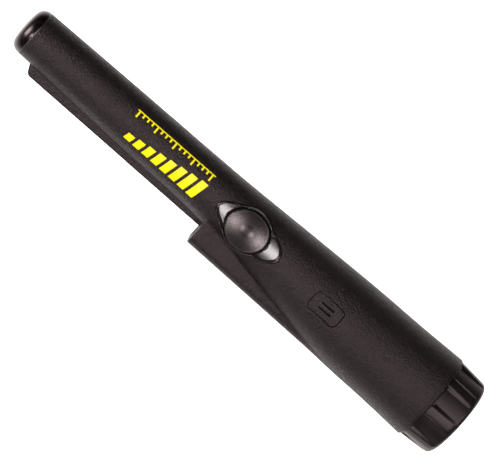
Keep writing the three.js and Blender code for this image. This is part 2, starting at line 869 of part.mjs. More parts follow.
function coilLead(side) {
  const top = formerTop - formerLength - seatGap;
  const x = tubeOffset + side * 5.2;
  const face = boardFront - seatGap - wireRadius;
  return wire([[x, -2.4, top], [x, -2.4, top - 2.5], [tubeOffset + side * 4.4, face - 0.3, boardTop - 1],
    [tubeOffset + side * 4.2, face, boardTop - 3.4]], wireRadius);
}

// ---- the vibration motor ----

function motorBoot() {
  const bottom = motorBottom + 1;
  const inner = motorRadius + seatGap;
  const outer = motorRadius + bootThickness;
  const top = bottom + 8;
  const profile = [[inner, bottom], [outer, bottom], [outer, top], [inner, top], [inner, bottom]];
  return turned(profile, 20, ...motorPlace);
}

function motorCan() {
  const top = motorBottom + motorLength;
  const can = bar(motorRadius, motorBottom, top, 20, ...motorPlace);
  return can.subtract(bar(shaftRadius + fitGap, top - 3, top + 1, 12, ...motorPlace));
}

function motorShaft() {
  const top = motorBottom + motorLength;
  return bar(shaftRadius, top - 2.6, top + 5.8, 12, ...motorPlace);
}

function eccentricWeight() {
  const shape = new THREE.Shape();
  shape.absarc(0, 0, motorRadius - 0.2, 0, Math.PI, false);
  shape.absarc(0, 0, 1.3, Math.PI, 2 * Math.PI, false);
  const bottom = motorBottom + motorLength + 1.2;
  const [x, y] = motorPlace;
  const weight = slab(shape, bottom, bottom + 4, 8).translate([x, y, 0]);
  return weight.subtract(bar(shaftRadius + seatGap, bottom - 1, bottom + 5, 12, x, y));
}

function motorLead(side) {
  const [x, y] = motorPlace;
  const start = [x + side * 1.5, y, motorBottom - seatGap];
  const edge = tubeOffset + side * (spineWidth / 2 + 0.9);
  const landing = [edge, boardBack + seatGap + wireRadius, motorBottom - 1];
  const bend = [x + side * 2.4, y - 0.4, motorBottom - 3];
  return wire([start, bend, [edge, spineBack + 1.6, motorBottom - 4], landing], wireRadius);
}

function batteryLead(side) {
  const x = (side * snapPitch) / 2;
  const face = boardFront - seatGap - wireRadius;
  const start = [x, -4 - seatGap - wireRadius, bulkheadTop + 3];
  const landX = tubeOffset + side * 4.6;
  return wire([start, [x, -4.6, bulkheadTop + 6], [landX, face - 0.9, boardBottom + 0.4],
    [landX, face, boardBottom + 3.2]], wireRadius);
}

function sounderLead(side) {
  const x = portX() + side * 2.2;
  const start = [x, sounderBack - sounderHeight / 2, portHeight + sounderRadius + seatGap];
  const face = boardFront - seatGap - wireRadius;
  const landX = tubeOffset + side * 1.7 - 0.4;
  return wire([start, [x, start[1], start[2] + 2.4], [landX, face - 2.2, boardBottom + 7.4],
    [landX, face, boardBottom + 9.6]], wireRadius);
}

// ---- the assembly ----

const probe = new THREE.Group();

// Adds a named sub-part to the probe.
function piece(name, made, material) {
  const mesh = new THREE.Mesh(surface(made), material);
  mesh.name = name;
  probe.add(mesh);
}

piece("housing", housing(), blackShell);
piece("battery_cap", batteryCap(), blackShell);
piece("cap_o_ring", capRing(), rubber);
piece("battery_pad", batteryPad(), foam);

piece("battery", battery(), sleeve);
piece("battery_snap_positive", snap(-1), nickel);
piece("battery_snap_negative", snap(1), nickel);
piece("contact_positive", contact(-1), nickel);
piece("contact_negative", contact(1), nickel);

piece("chassis", chassis(), nylon);
piece("chassis_screw_left", chassisScrew(-1), steel);
piece("chassis_screw_right", chassisScrew(1), steel);
piece("main_board", mainBoard(), boardGreen);
boardScrewHeights().forEach((height, i) => piece("board_screw_" + (i + 1), boardScrew(height), steel));
piece("processor", chip(0, boardPlace(0.35), 7, 7, 1.2), chipBlack);
piece("amplifier", chip(-4.2, boardPlace(0.76), 4, 5, 1.4), chipBlack);
piece("crystal", chip(3.8, boardPlace(0.76), 3.6, 9, 2.8), steel);
piece("capacitor_supply", capacitor(3.6, buttonHeight - 16, 2.5, 5), sleeve);
piece("capacitor_filter", capacitor(-2.2, buttonHeight - 16.5, 2, 5), sleeve);
piece("push_switch", switchBody(), chipBlack);
piece("push_switch_stem", switchStem(), nylon);

piece("button", button(), blackButton);
piece("button_spring", buttonSpring(), steel);
piece("button_bezel", bezel(), blackGloss);
piece("bezel_gasket", bezelGasket(), rubber);

piece("sounder_grille", sounderGrille(), blackShell);
piece("sounder_mesh", sounderMesh(), foam);
piece("sounder", sounder(), chipBlack);

piece("lamp_lens", lampLens(), clear);
piece("lamp", lamp(), clear);

piece("ferrite_rod", onTubeAxis(ferriteRod()), ferrite);
piece("coil_former", onTubeAxis(coilFormer()), nylon);
piece("receive_winding", onTubeAxis(winding(0)), copper);
piece("transmit_winding", onTubeAxis(winding(1)), copper);
piece("nose_pad", onTubeAxis(nosePad()), foam);

piece("vibration_motor", motorCan(), steel);
piece("motor_boot", motorBoot(), rubber);
piece("motor_shaft", motorShaft(), steel);
piece("eccentric_weight", eccentricWeight(), nickel);

for (const [side, end, colour] of [[-1, "red", redWire], [1, "black", blackWire]]) {
  piece("battery_lead_" + end, batteryLead(side), colour);
  piece("motor_lead_" + end, motorLead(side), colour);
  piece("lamp_lead_" + end, lampLead(side), colour);
  piece("sounder_lead_" + end, sounderLead(side), colour);
}
piece("coil_lead_yellow", coilLead(-1), yellowWire);
piece("coil_lead_black", coilLead(1), blackWire);

export default probe;
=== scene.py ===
# A pinpointer probe, in the order that it is put together. The file works in millimetres and
# Blender in metres; +Z runs along the handle to the nose and the push button faces -Y.
import math

import bmesh
import bpy
import numpy as np
from mathutils import Matrix, Vector


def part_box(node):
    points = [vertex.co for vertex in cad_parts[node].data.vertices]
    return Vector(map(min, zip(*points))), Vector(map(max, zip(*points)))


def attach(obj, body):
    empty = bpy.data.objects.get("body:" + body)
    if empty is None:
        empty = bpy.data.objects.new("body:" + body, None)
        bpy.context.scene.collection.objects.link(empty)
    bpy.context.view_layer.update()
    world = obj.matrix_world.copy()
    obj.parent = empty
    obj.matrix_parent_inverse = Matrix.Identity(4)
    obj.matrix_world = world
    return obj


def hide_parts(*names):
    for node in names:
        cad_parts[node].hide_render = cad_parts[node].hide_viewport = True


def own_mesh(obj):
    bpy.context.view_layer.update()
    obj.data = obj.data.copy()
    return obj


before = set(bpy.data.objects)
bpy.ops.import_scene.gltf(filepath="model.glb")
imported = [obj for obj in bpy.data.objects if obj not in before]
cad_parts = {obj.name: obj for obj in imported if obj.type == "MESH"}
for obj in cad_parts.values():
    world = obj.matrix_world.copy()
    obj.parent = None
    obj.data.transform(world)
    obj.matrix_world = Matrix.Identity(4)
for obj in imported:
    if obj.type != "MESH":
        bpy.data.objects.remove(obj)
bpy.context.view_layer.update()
MM = 0.001
scene = bpy.context.scene


# ---- The camera ----
# A long lens stands a metre and a half off, a little to the right of the button and above
# it, and is rolled so that the probe lies across the picture.
AZIMUTH = math.radians(9.0)
ELEVATION = math.radians(4.4)
ROLL = math.radians(48.3)
CAMERA_DISTANCE = 1.5
LENS = 277.7

towards = Vector((
    math.sin(AZIMUTH) * math.cos(ELEVATION),
    -math.cos(AZIMUTH) * math.cos(ELEVATION),
    math.sin(ELEVATION),
))
level = Vector((math.cos(AZIMUTH), math.sin(AZIMUTH), 0))
upright = towards.cross(level)
right = level * math.cos(ROLL) - upright * math.sin(ROLL)
up = level * math.sin(ROLL) + upright * math.cos(ROLL)
aim = Vector((3.3, 0, 102.45)) * MM - right * 6.99 * MM + up * 2.81 * MM
lens = bpy.data.cameras.new("camera")
lens.lens = LENS
lens.clip_start = 0.05
lens.clip_end = 60
camera = bpy.data.objects.new("camera", lens)
camera.matrix_world = Matrix.Translation(aim + towards * CAMERA_DISTANCE) @ Matrix(
    (right, up, towards)).transposed().to_4x4()
scene.collection.objects.link(camera)
scene.camera = camera


# ---- The room ----
# A white room stands behind the probe and fades to dark towards the camera, so that black
# plastic shows light edges. The floor lies low enough for the battery cap to come off above it.
class Field:
    """A value that varies over a surface: a node's socket, with the operators that combine it."""

    def __init__(self, web, socket):
        self.web = web
        self.socket = socket

    def maths(self, operation, first, second=0.0, clamp=False):
        settings = {"operation": operation, "use_clamp": clamp}
        return self.web.node("ShaderNodeMath", settings, {0: first, 1: second})

    def __add__(self, other):
        return self.maths("ADD", self, other)

    def __radd__(self, other):
        return self.maths("ADD", other, self)

    def __sub__(self, other):
        return self.maths("SUBTRACT", self, other)

    def __rsub__(self, other):
        return self.maths("SUBTRACT", other, self)

    def __mul__(self, other):
        return self.maths("MULTIPLY", self, other)

    def __rmul__(self, other):
        return self.maths("MULTIPLY", other, self)

    def __pow__(self, other):
        return self.maths("POWER", self, other)

    def most(self, other):
        return self.maths("MAXIMUM", self, other)

    def between(self, low, high):
        """0 below low, 1 above high, and smooth between them; low may be the larger."""
        settings = {"interpolation_type": "SMOOTHSTEP", "clamp": True}
        sockets = {"Value": self, "From Min": low, "From Max": high}
        if low > high:
            sockets |= {"From Min": high, "From Max": low, "To Min": 1.0, "To Max": 0.0}
        return self.web.node("ShaderNodeMapRange", settings, sockets)


class Web:
    """A node tree, and the one way that a node is put in it."""

    def __init__(self, tree):
        self.tree = tree

    def node(self, kind, settings=None, sockets=None, output=0):
        made = self.tree.nodes.new(kind)
        for name, value in (settings or {}).items():
            if name == "stops":
                while len(made.color_ramp.elements) < len(value):
                    made.color_ramp.elements.new(0.5)
                for stop, (position, colour) in zip(made.color_ramp.elements, value):
                    stop.position = position
                    stop.color = (*colour, 1)
            else:
                setattr(made, name, value)
        for name, value in (sockets or {}).items():
            if isinstance(value, Field):
                self.tree.links.new(value.socket, made.inputs[name])
            else:
                made.inputs[name].default_value = value
        return Field(self, made.outputs[output])

    def mixed(self, share, first, second):
        """One colour or vector faded into another."""
        first, second = (
            (*value, 1) if isinstance(value, tuple) and len(value) == 3 else value
            for value in (first, second)
        )
        sockets = {0: share, 6: first, 7: second}
        return self.node("ShaderNodeMix", {"data_type": "RGBA"}, sockets, 2)

    def vector(self, operation, first, second, output=0):
        settings = {"operation": operation}
        return self.node("ShaderNodeVectorMath", settings, {0: first, 1: second}, output)


FLOOR_DROP = 80
ROOM_WHITE = (1.0, 0.945, 0.925, 1)
ROOM_FACING = (-0.30, 0.95, 0.06)
ROOM_DARK = 0.005

room = bpy.data.worlds.new("room")
room.use_nodes = True
scene.world = room
web = Web(room.node_tree)
backdrop = room.node_tree.nodes["Background"]
way = web.node("ShaderNodeTexCoord")
behind = web.vector("DOT_PRODUCT", way, ROOM_FACING, 1)
glow = behind.between(0.10, 0.80) * 2.1 + ROOM_DARK
seen = web.node("ShaderNodeLightPath")
strength = seen.most(glow)
tint = web.mixed(seen, ROOM_WHITE, (1.0, 1.0, 1.0, 1))
web.tree.links.new(tint.socket, backdrop.inputs["Color"])
web.tree.links.new(strength.socket, backdrop.inputs["Strength"])


def soft_box(name, turn, lift, distance, width, height, watts, colour=(1.0, 0.93, 0.915)):
    """A soft box that faces the middle of the probe, placed by angles from the camera's side."""
    heading = AZIMUTH + math.radians(turn)
    tilt = math.radians(lift)
    out = Vector((
        math.sin(heading) * math.cos(tilt), -math.cos(heading) * math.cos(tilt), math.sin(tilt)))
    lamp = bpy.data.lights.new(name, "AREA")
    lamp.shape = "RECTANGLE"
    lamp.size = width
    lamp.size_y = height
    lamp.energy = watts
    lamp.color = colour
    box = bpy.data.objects.new(name, lamp)
    box.location = Vector((0, 0, 0.11)) + out * distance
    box.rotation_euler = out.to_track_quat("Z", "Y").to_euler()
    box.visible_camera = False
    scene.collection.objects.link(box)
    return box


soft_box("box_above", -18, 12, 1.0, 0.20, 0.18, 3.4)
soft_box("box_below", -18, -20, 1.0, 0.20, 0.18, 3.0)
soft_box("box_low", 8, -34, 0.7, 0.20, 0.20, 1.2)
soft_box("box_overhead", -20, 62, 1.0, 0.5, 0.5, 11)

floor_mesh = bpy.data.meshes.new("floor")
FLOOR_REACH = 6.0
floor_corners = [(x * FLOOR_REACH, y * FLOOR_REACH, 0) for x, y in ((-1, -1), (1, -1), (1, 1), (-1, 1))]
floor_mesh.from_pydata(floor_corners, [], [(0, 1, 2, 3)])
floor = bpy.data.objects.new("floor", floor_mesh)
floor.location.z = -FLOOR_DROP * MM
scene.collection.objects.link(floor)
paint = bpy.data.materials.new("pale_floor")
paint.use_nodes = True
web = Web(paint.node_tree)
board = paint.node_tree.nodes["Principled BSDF"]
spread = web.node("ShaderNodeTexCoord", output=3)
mottle = web.node("ShaderNodeTexNoise", {}, {"Vector": spread, "Scale": 3.0, "Detail": 3.0})
shade = web.mixed(mottle, (0.90, 0.90, 0.90), (0.93, 0.93, 0.93))
web.tree.links.new(shade.socket, board.inputs["Base Color"])
board.inputs["Roughness"].default_value = 0.9
board.inputs["Emission Color"].default_value = (1, 1, 1, 1)
board.inputs["Emission Strength"].default_value = 1.0
floor_mesh.materials.append(paint)
floor.visible_diffuse = False
floor.visible_glossy = False
floor.visible_shadow = False
scene.view_settings.view_transform = "Standard"


# ---- The housing ----
# One black ABS moulding: a round handle that runs into a cone and a slim tube with a smooth
# glossy nose, a square hood on the -X side, and a scraping blade from the hood to the nose.
class Finish(Web):
    """A material: its nodes, and the shader that they end in."""

    def __init__(self, name, constants):
        self.material = bpy.data.materials.new(name)
        self.material.use_nodes = True
        super().__init__(self.material.node_tree)
        self.shader = self.tree.nodes["Principled BSDF"]
        self.place = self.node("ShaderNodeTexCoord", output=3)
        self.set(constants)

    def set(self, sockets):
        for name, value in sockets.items():
            if isinstance(value, Field):
                self.tree.links.new(value.socket, self.shader.inputs[name])
            else:
                self.shader.inputs[name].default_value = value
        return self

    def axes(self):
        """The place's own x, y and z, in millimetres."""
        scaled = self.vector("MULTIPLY", self.place, (1000, 1000, 1000))
        parts = self.node("ShaderNodeSeparateXYZ", {}, {0: scaled})
        return [Field(self, socket) for socket in parts.socket.node.outputs]

    def noise(self, grain, detail=2.0, place=None):
        """Noise whose lumps are about grain millimetres across."""
        sockets = {"Vector": place or self.place, "Scale": 1000 / grain, "Detail": detail}
        return self.node("ShaderNodeTexNoise", {}, sockets)

    def bump(self, height, depth, under=None):
        """A relief, height times depth in millimetres, on top of another one or none."""
        sockets = {"Strength": 1.0, "Distance": depth * MM, "Height": height}
        if under is not None:
            sockets["Normal"] = under
        return self.node("ShaderNodeBump", {}, sockets)


def lofted(name, rings, closed_ends=True):
    """A skin over rings of points in millimetres, all of one length, with its ends closed."""
    rings = [np.asarray(ring, float) for ring in rings]
    count = len(rings[0])
    faces = []
    for row in range(len(rings) - 1):
        low = row * count
        high = low + count
        faces += [(low + i, low + (i + 1) % count, high + (i + 1) % count, high + i) for i in range(count)]
    if closed_ends:
        faces += [tuple(range(count)), tuple(range((len(rings) - 1) * count, len(rings) * count))]
    return piece(name, np.concatenate(rings), faces)


def piece(name, points, faces):
    """A mesh object from points in millimetres and faces, welded, faced outwards and smoothed."""
    mesh = bpy.data.meshes.new(name)
    mesh.from_pydata((np.asarray(points, float) * MM).tolist(), [], faces)
    made = bpy.data.objects.new(name, mesh)
    scene.collection.objects.link(made)
    return tidied(made)


def tidied(made, sharp=32, weld=1e-4):
    """Welds a piece's points, faces it outwards, and shades it smooth but for its sharp edges."""
    form = bmesh.new()
    form.from_mesh(made.data)
    bmesh.ops.remove_doubles(form, verts=form.verts, dist=weld * MM)
    bmesh.ops.dissolve_degenerate(form, edges=form.edges, dist=weld * MM)
    bmesh.ops.recalc_face_normals(form, faces=form.faces)
    for face in form.faces:
        face.smooth = True
    for edge in form.edges:
        edge.smooth = edge.is_manifold and edge.calc_face_angle(0.0) < math.radians(sharp)
    form.to_mesh(made.data)
    form.free()
    return made


def combined(whole, operation, *tools, sharp=32):
    """Joins tools to a solid, cuts them out of it or keeps what they share, and drops them."""
    for tool in tools:
        step = whole.modifiers.new("join", "BOOLEAN")
        step.operation = operation
        step.solver = "MANIFOLD"
        step.object = tool
        graph = bpy.context.evaluated_depsgraph_get()
        made = bpy.data.meshes.new_from_object(whole.evaluated_get(graph))
        whole.modifiers.clear()
        whole.data = made
        bpy.data.objects.remove(tool)
    return tidied(whole, sharp)


def copied(node, name):
    """A CAD node's solid as a new object, welded."""
    made = bpy.data.objects.new(name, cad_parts[node].data.copy())
    made.data.materials.clear()
    scene.collection.objects.link(made)
    return tidied(made)


def prism(name, outline, front, back):
    """An outline in X and Z made into a solid between two values of Y."""
    outline = np.asarray(outline, float)
    rings = [np.column_stack([outline[:, 0], np.full(len(outline), y), outline[:, 1]]) for y in (front, back)]
    return lofted(name, rings)


def oval(x, z, half_x, half_z, count=96):
    turn = np.linspace(0, 2 * math.pi, count, endpoint=False)
    return np.column_stack([x + half_x * np.cos(turn), z + half_z * np.sin(turn)])


def worn(made, finish, body, slot, *nodes):
    """Gives a piece its finish and the body it moves with, and hides the nodes it stands for; slot is not
    used.
    """
    made.data.materials.clear()
    made.data.materials.append(finish.material)
    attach(made, body)
    if nodes:
        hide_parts(*nodes)
    return made


# The handle's line: radius, how far the centre stands towards +X, and height.
MOUTH = 14.2
HOOD_FRONT = 126.1
NOSE = 228.6
NOSE_ROUND = 4.4
NOSE_CROWN = 0.5
HANDLE_LINE = np.array([
    [19.0, 0, MOUTH], [18.25, 0, 35.2], [17.9, 0, 56.1], [14.91, 1.584, 93.1], [11.8, 3.3, HOOD_FRONT],
    [10.9, 3.3, 177.35], [10.0, 3.3, NOSE - NOSE_CROWN - NOSE_ROUND],
])


def smooth_line(knots, steps=24):
    """A centripetal curve through knots."""
    ends = [2 * knots[0] - knots[1], *knots, 2 * knots[-1] - knots[-2]]
    line = []
    for before, start, end, after in zip(ends, ends[1:], ends[2:], ends[3:]):
        a, b, c = (np.linalg.norm(q - p) ** 0.5 for p, q in ((before, start), (start, end), (end, after)))
        leave = ((start - before) / a - (end - before) / (a + b) + (end - start) / b) * b
        arrive = ((end - start) / b - (after - start) / (b + c) + (after - end) / c) * b
        for t in np.arange(steps) / steps:
            cubic = 2 * start - 2 * end + leave + arrive
            square = -3 * start + 3 * end - 2 * leave - arrive
            line.append(start + t * (leave + t * (square + t * cubic)))
    return np.array([*line, knots[-1]])


handle_curve = smooth_line(HANDLE_LINE)


def radius_at(height):
    return np.interp(height, handle_curve[:, 2], handle_curve[:, 0])


def middle_at(height):
    return np.interp(height, handle_curve[:, 2], handle_curve[:, 1])


HOOD_FACE = -17.5
HOOD_HALF = 8.0
HOOD_CORNER = 4.0
HOOD_EDGE = 0.55
CREASE = 1.1


def hood_radius(turn, middle, inset):
    """How far the hood's outline stands from the handle's middle, in each direction."""
    half = HOOD_HALF - inset
    face = middle - HOOD_FACE - inset
    corner = HOOD_CORNER - inset
    along = np.cos(turn)
    across = np.abs(np.sin(turn))
    flank = half / np.maximum(across, 1e-6)
    front = face / np.maximum(along, 1e-6)
    centre = np.array([face - corner, half - corner])
    dot = along * centre[0] + across * centre[1]
    arc = dot + np.sqrt(np.maximum(dot ** 2 - centre @ centre + corner ** 2, 0))
    straight = np.minimum(flank, front)
    on_corner = (straight * along > face - corner) & (straight * across > half - corner)
    return np.where(along > 0.05, np.where(on_corner, arc, straight), 0.0)


def soft_most(first, second, blend):
    """The larger of two lengths, with the crease between them filled."""
    near = np.maximum(blend - np.abs(first - second), 0) / blend
    return np.maximum(first, second) + near ** 2 * blend / 4


def handle_rings(inset, coarse=1.0):
    """The housing's outside, moved in by inset, as rings from the mouth to the nose."""
    turn = np.radians(np.concatenate([
        np.arange(-64, 64, 0.8 * coarse), np.arange(64, 296, 2.0 * coarse)]))
    rings = []

    def ring(height, grow=0.0, hood=None):
        radius = radius_at(min(height, HANDLE_LINE[-1, 2])) - inset + grow
        middle = middle_at(height)
        out = np.full(len(turn), radius)
        if hood is not None:
            out = soft_most(out, hood_radius(turn, middle, inset + hood), CREASE)
        points = [middle - out * np.cos(turn), out * np.sin(turn), np.full(len(turn), height)]
        rings.append(np.column_stack(points))

    low = MOUTH + (inset if inset > 0 else 0)
    ring(low, -0.3)
    for height in (low + 0.12, low + 0.3):
        ring(height, -0.3 * (1 - (height - low) / 0.3) ** 2)
    for height in np.arange(17, HOOD_FRONT - HOOD_EDGE - 1, 2.2 * coarse):
        ring(height, hood=0.0)
    front = HOOD_FRONT - inset
    for turned_by in np.radians([0, 22, 45, 67, 90]):
        rise = front - HOOD_EDGE * (1 - math.sin(turned_by))
        ring(rise, hood=HOOD_EDGE * (1 - math.cos(turned_by)))
    ring(front)
    for height in np.arange(front + 1.5, HANDLE_LINE[-1, 2] - 2, 3.0 * coarse):
        ring(height)
    flat = HANDLE_LINE[-1, 0] - NOSE_ROUND
    for bend in np.radians(np.linspace(0, 80, 15)):
        radius = flat + (NOSE_ROUND - inset) * math.cos(bend)
        height = HANDLE_LINE[-1, 2] + (NOSE_ROUND - inset) * math.sin(bend)
        middle = HANDLE_LINE[-1, 1]
        points = [middle - radius * np.cos(turn), radius * np.sin(turn), np.full(len(turn), height)]
        rings.append(np.column_stack(points))
    rim = radius
    crown = NOSE - inset - height
    for share in (0.82, 0.64, 0.46, 0.28, 0.12, 0.0):
        radius = rim * share
        points = [middle - radius * np.cos(turn), radius * np.sin(turn),
                  np.full(len(turn), height + crown * (1 - share ** 2))]
        rings.append(np.column_stack(points))
    return rings


def blade_rings():
    """The blade, from inside the hood to its slanted end, with rounded edges."""
    half = 1.5
    edge = 0.6
    foot, tip, root = -10.2, -10.8, 3.3
    end = NOSE - 10.9
    slope = [(HOOD_FRONT - 2, foot), (end - 4.1, tip)]
    slope += [(end - 3.4, tip + 0.06), (end - 2.9, tip + 0.25), (end - 2.4, tip + 0.62)]
    slope += [(end - 1.9, tip + 1.2), (end - 0.9, -7.6), (end, -6.1), (end + 1.6, -4.2)]
    heights = np.concatenate([np.linspace(HOOD_FRONT - 2, end - 4.1, 30), [h for h, _ in slope[2:]]])
    outer = np.interp(heights, *zip(*slope))
    bend = np.radians(np.linspace(0, 90, 6))
    rings = []
    for height, x in zip(heights, outer):
        low = [(x + edge - edge * math.cos(b), -half + edge - edge * math.sin(b)) for b in bend]
        high = [(x + edge - edge * math.cos(b), half - edge + edge * math.sin(b)) for b in bend[::-1]]
        outline = [*low, (root, -half), (root, half), *high]
        rings.append([(x, y, height) for x, y in outline])
    return rings


BUTTON_HEIGHT = 112.0
BUTTON_X = float(middle_at(BUTTON_HEIGHT))
BUTTON_Y = -float(radius_at(BUTTON_HEIGHT))
BUTTON_HALF_X = 8.15
BUTTON_HALF_Z = 9.25
EYE_HALF_X = 7.1
EYE_HALF_Z = 15.9
EYE_SHIFT = 0.65
COLLAR = 0.95


def eye_reach(turn, grow=0.0):
    """How far the bezel's outline stands from the button's middle; a turn of 0 is towards +X."""
    a = EYE_HALF_X + grow
    b = EYE_HALF_Z + grow
    quadratic = (np.cos(turn) / a) ** 2 + (np.sin(turn) / b) ** 2
    linear = np.sin(turn) * EYE_SHIFT / b ** 2
    ellipse_reach = (-linear + np.sqrt(linear ** 2 + quadratic * (1 - (EYE_SHIFT / b) ** 2))) / quadratic
    a = BUTTON_HALF_X + COLLAR + grow
    b = BUTTON_HALF_Z + COLLAR + grow
    round_reach = a * b / np.hypot(b * np.cos(turn), a * np.sin(turn))
    return soft_most(ellipse_reach, round_reach, 1.0)


around = np.linspace(0, 2 * math.pi, 240, endpoint=False)


def eye_outline(grow):
    out = eye_reach(around, grow)
    return np.column_stack([BUTTON_X + out * np.cos(around), BUTTON_HEIGHT + out * np.sin(around)])


def corners(node):
    """A CAD node's box in millimetres: its lowest and its highest corner."""
    return [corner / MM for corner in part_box(node)]


def extent(node):
    """The middle of a CAD node's box, and half its size, each as x, y and z in millimetres."""
    low, high = corners(node)
    return [(a + b) / 2 for a, b in zip(low, high)], [(b - a) / 2 for a, b in zip(low, high)]


(GRILLE_X, _, GRILLE_Z), (GRILLE_HALF_X, _, GRILLE_HALF_Z) = extent("sounder_grille")
GRILLE_FRONT, GRILLE_BACK = (corner.y for corner in corners("sounder_grille"))
GRILLE_CORNER = 1.8
PORT_GAP = 0.42


def rounded(x, z, half_x, half_z, corner, steps=9):
    """A rectangle with round corners, as points in X and Z."""
    points = []
    for quarter, (sx, sz) in enumerate(((1, 1), (-1, 1), (-1, -1), (1, -1))):
        for bend in np.radians(np.linspace(0, 90, steps) + 90 * quarter):
            points.append((x + sx * (half_x - corner) + corner * math.cos(bend),
                           z + sz * (half_z - corner) + corner * math.sin(bend)))
    return points


def stepped_bar(name, x, *steps):
    """A round tool about an upright line; each step holds a radius and a height."""
    rings = [[(x + r * math.cos(a), r * math.sin(a), h) for a in around] for r, h in steps]
    return lofted(name, rings)


shell = Finish("moulded_abs", {"IOR": 1.50, "Specular Tint": (1.0, 0.85, 0.87, 1)})
x, y, z = shell.axes()
nose_smooth = z.between(222.9, 223.6)
coarse = shell.noise(0.95, 3.0)
fine = shell.noise(0.25, 2.0)
pits = shell.node("ShaderNodeTexVoronoi", {"feature": "SMOOTH_F1"},
                  {"Vector": shell.place, "Scale": 1450.0, "Smoothness": 0.6})
flow = shell.noise(34.0, 3.0)
handled = shell.noise(11.0, 4.0)
relief = (coarse * 0.65 + fine * 0.3 + pits * 0.35) * (1 - nose_smooth)
tone = shell.mixed(flow.between(0.35, 0.65), (0.0022, 0.0010, 0.0010), (0.0032, 0.0016, 0.0016))
tone = shell.mixed(coarse.between(0.50, 0.70) * 0.7, tone, (0.0110, 0.0080, 0.0080))
gloss = 0.49 + (handled - 0.5) * 0.14 + (coarse - 0.5) * 0.55 + z.between(128.0, 60.0) * 0.05
gloss = gloss * (1 - nose_smooth) + 0.27 * nose_smooth
shell.set({
    "Base Color": tone,
    "Roughness": gloss,
    "Normal": shell.bump(relief, 0.52),
})

# Inside, the shell is the CAD housing's own; only its outermost part is drawn afresh.
SKIN_DEPTH = 0.7
SKIN_COARSE = 1.6
MOUTH_BORE = 17.9
FAR_FRONT = -40
EYE_GAP = 0.25
POCKET_DEPTH = 3.09
PORT_SEAT = 0.14
LAMP_HOLE = 2.7

housing = lofted("housing_shell", handle_rings(0.0))
combined(housing, "UNION", lofted("blade_tool", blade_rings()))
core = lofted("core_tool", handle_rings(SKIN_DEPTH, SKIN_COARSE))
combined(core, "UNION", stepped_bar("plug_tool", 0, (MOUTH_BORE, MOUTH - 1), (MOUTH_BORE, MOUTH + 3)))
combined(core, "DIFFERENCE", copied("housing", "housing_tool"))
combined(housing, "DIFFERENCE", core)
pocket = prism("pocket_tool", eye_outline(EYE_GAP), FAR_FRONT, BUTTON_Y + POCKET_DEPTH)
port_sides = (GRILLE_HALF_X + PORT_GAP, GRILLE_HALF_Z + PORT_GAP, GRILLE_CORNER + PORT_GAP)
port = prism("port_tool", rounded(GRILLE_X, GRILLE_Z, *port_sides), FAR_FRONT, GRILLE_BACK + PORT_SEAT)
(LAMP_X, _, _), _ = extent("lamp_lens")
lamp_hole = stepped_bar("lamp_tool", LAMP_X, (LAMP_HOLE, HOOD_FRONT - 3), (LAMP_HOLE, HOOD_FRONT + 1))
combined(housing, "DIFFERENCE", pocket, port, lamp_hole)
worn(housing, shell, "housing", "shell", "housing")


# ---- The printed mark ----
# Yellow ink padded onto the tube beside the button: a row of slanted bars that grow, as a
# signal scale does, and a thin line of ticks under it. It is a layer with real thickness.
INK_THICKNESS = 0.035
INK_FOOT = 134.7
INK_END = 174.3

ink = Finish("yellow_ink", {"IOR": 1.48, "Specular IOR Level": 0.35})
screen = ink.noise(0.5, 3.0)
film = ink.noise(5.0, 2.0)
tone = ink.mixed(film.between(0.3, 0.7), (0.90, 0.80, 0.006), (0.95, 0.86, 0.010))
tone = ink.mixed(screen.between(0.62, 0.80) * 0.5, tone, (0.50, 0.43, 0.008))
ink.set({
    "Base Color": tone,
    "Roughness": 0.42 + (screen - 0.5) * 0.16,
    "Normal": ink.bump(screen, 0.05),
})


def ink_patch(name, outline, columns, rows):
    """A four-cornered patch of ink that follows the tube; a corner holds an angle and a height."""
    (a0, h0), (a1, h1), (a2, h2), (a3, h3) = outline
    skins = []
    for lift in (-0.03, INK_THICKNESS):
        grid = []
        for v in np.linspace(0, 1, rows):
            for u in np.linspace(0, 1, columns):
                turn = (1 - v) * ((1 - u) * a0 + u * a1) + v * ((1 - u) * a3 + u * a2)
                height = (1 - v) * ((1 - u) * h0 + u * h1) + v * ((1 - u) * h3 + u * h2)
                out = radius_at(height) + lift
                heading = AZIMUTH + math.radians(turn)
                grid.append((middle_at(height) + out * math.sin(heading), -out * math.cos(heading), height))
        skins.append(grid)
    faces = []
    size = columns * rows
    for v in range(rows - 1):
        for u in range(columns - 1):
            i = v * columns + u
            faces.append((i, i + 1, i + columns + 1, i + columns))
            faces.append((size + i, size + i + columns, size + i + columns + 1, size + i + 1))
    border = [*range(columns), *range(2 * columns - 1, size, columns),
              *range(size - 2, size - columns - 1, -1), *range(size - 2 * columns, 0, -columns)]
    for i, j in zip(border, [*border[1:], border[0]]):
        faces.append((i, j, size + j, size + i))
    return piece(name, [*skins[0], *skins[1]], faces)


BAR_COUNT = 8
BAR_LOW = -41.0
BAR_SLANT = 1.7
BAR_HEIGHTS = np.linspace(17, 43.5, BAR_COUNT)
BAR_SHARE = 0.68
TICK_COUNT = 17
TICK_WIDTH = 0.75
TICK_FOOT = 0.9
TICK_END = 23.7


def joined_as(name, parts):
    """Several pieces made into one."""
    whole = parts[0]
    whole.name = name
    context = {"active_object": whole, "selected_editable_objects": parts, "object": whole}
    with bpy.context.temp_override(**context):
        bpy.ops.object.join()
    return whole


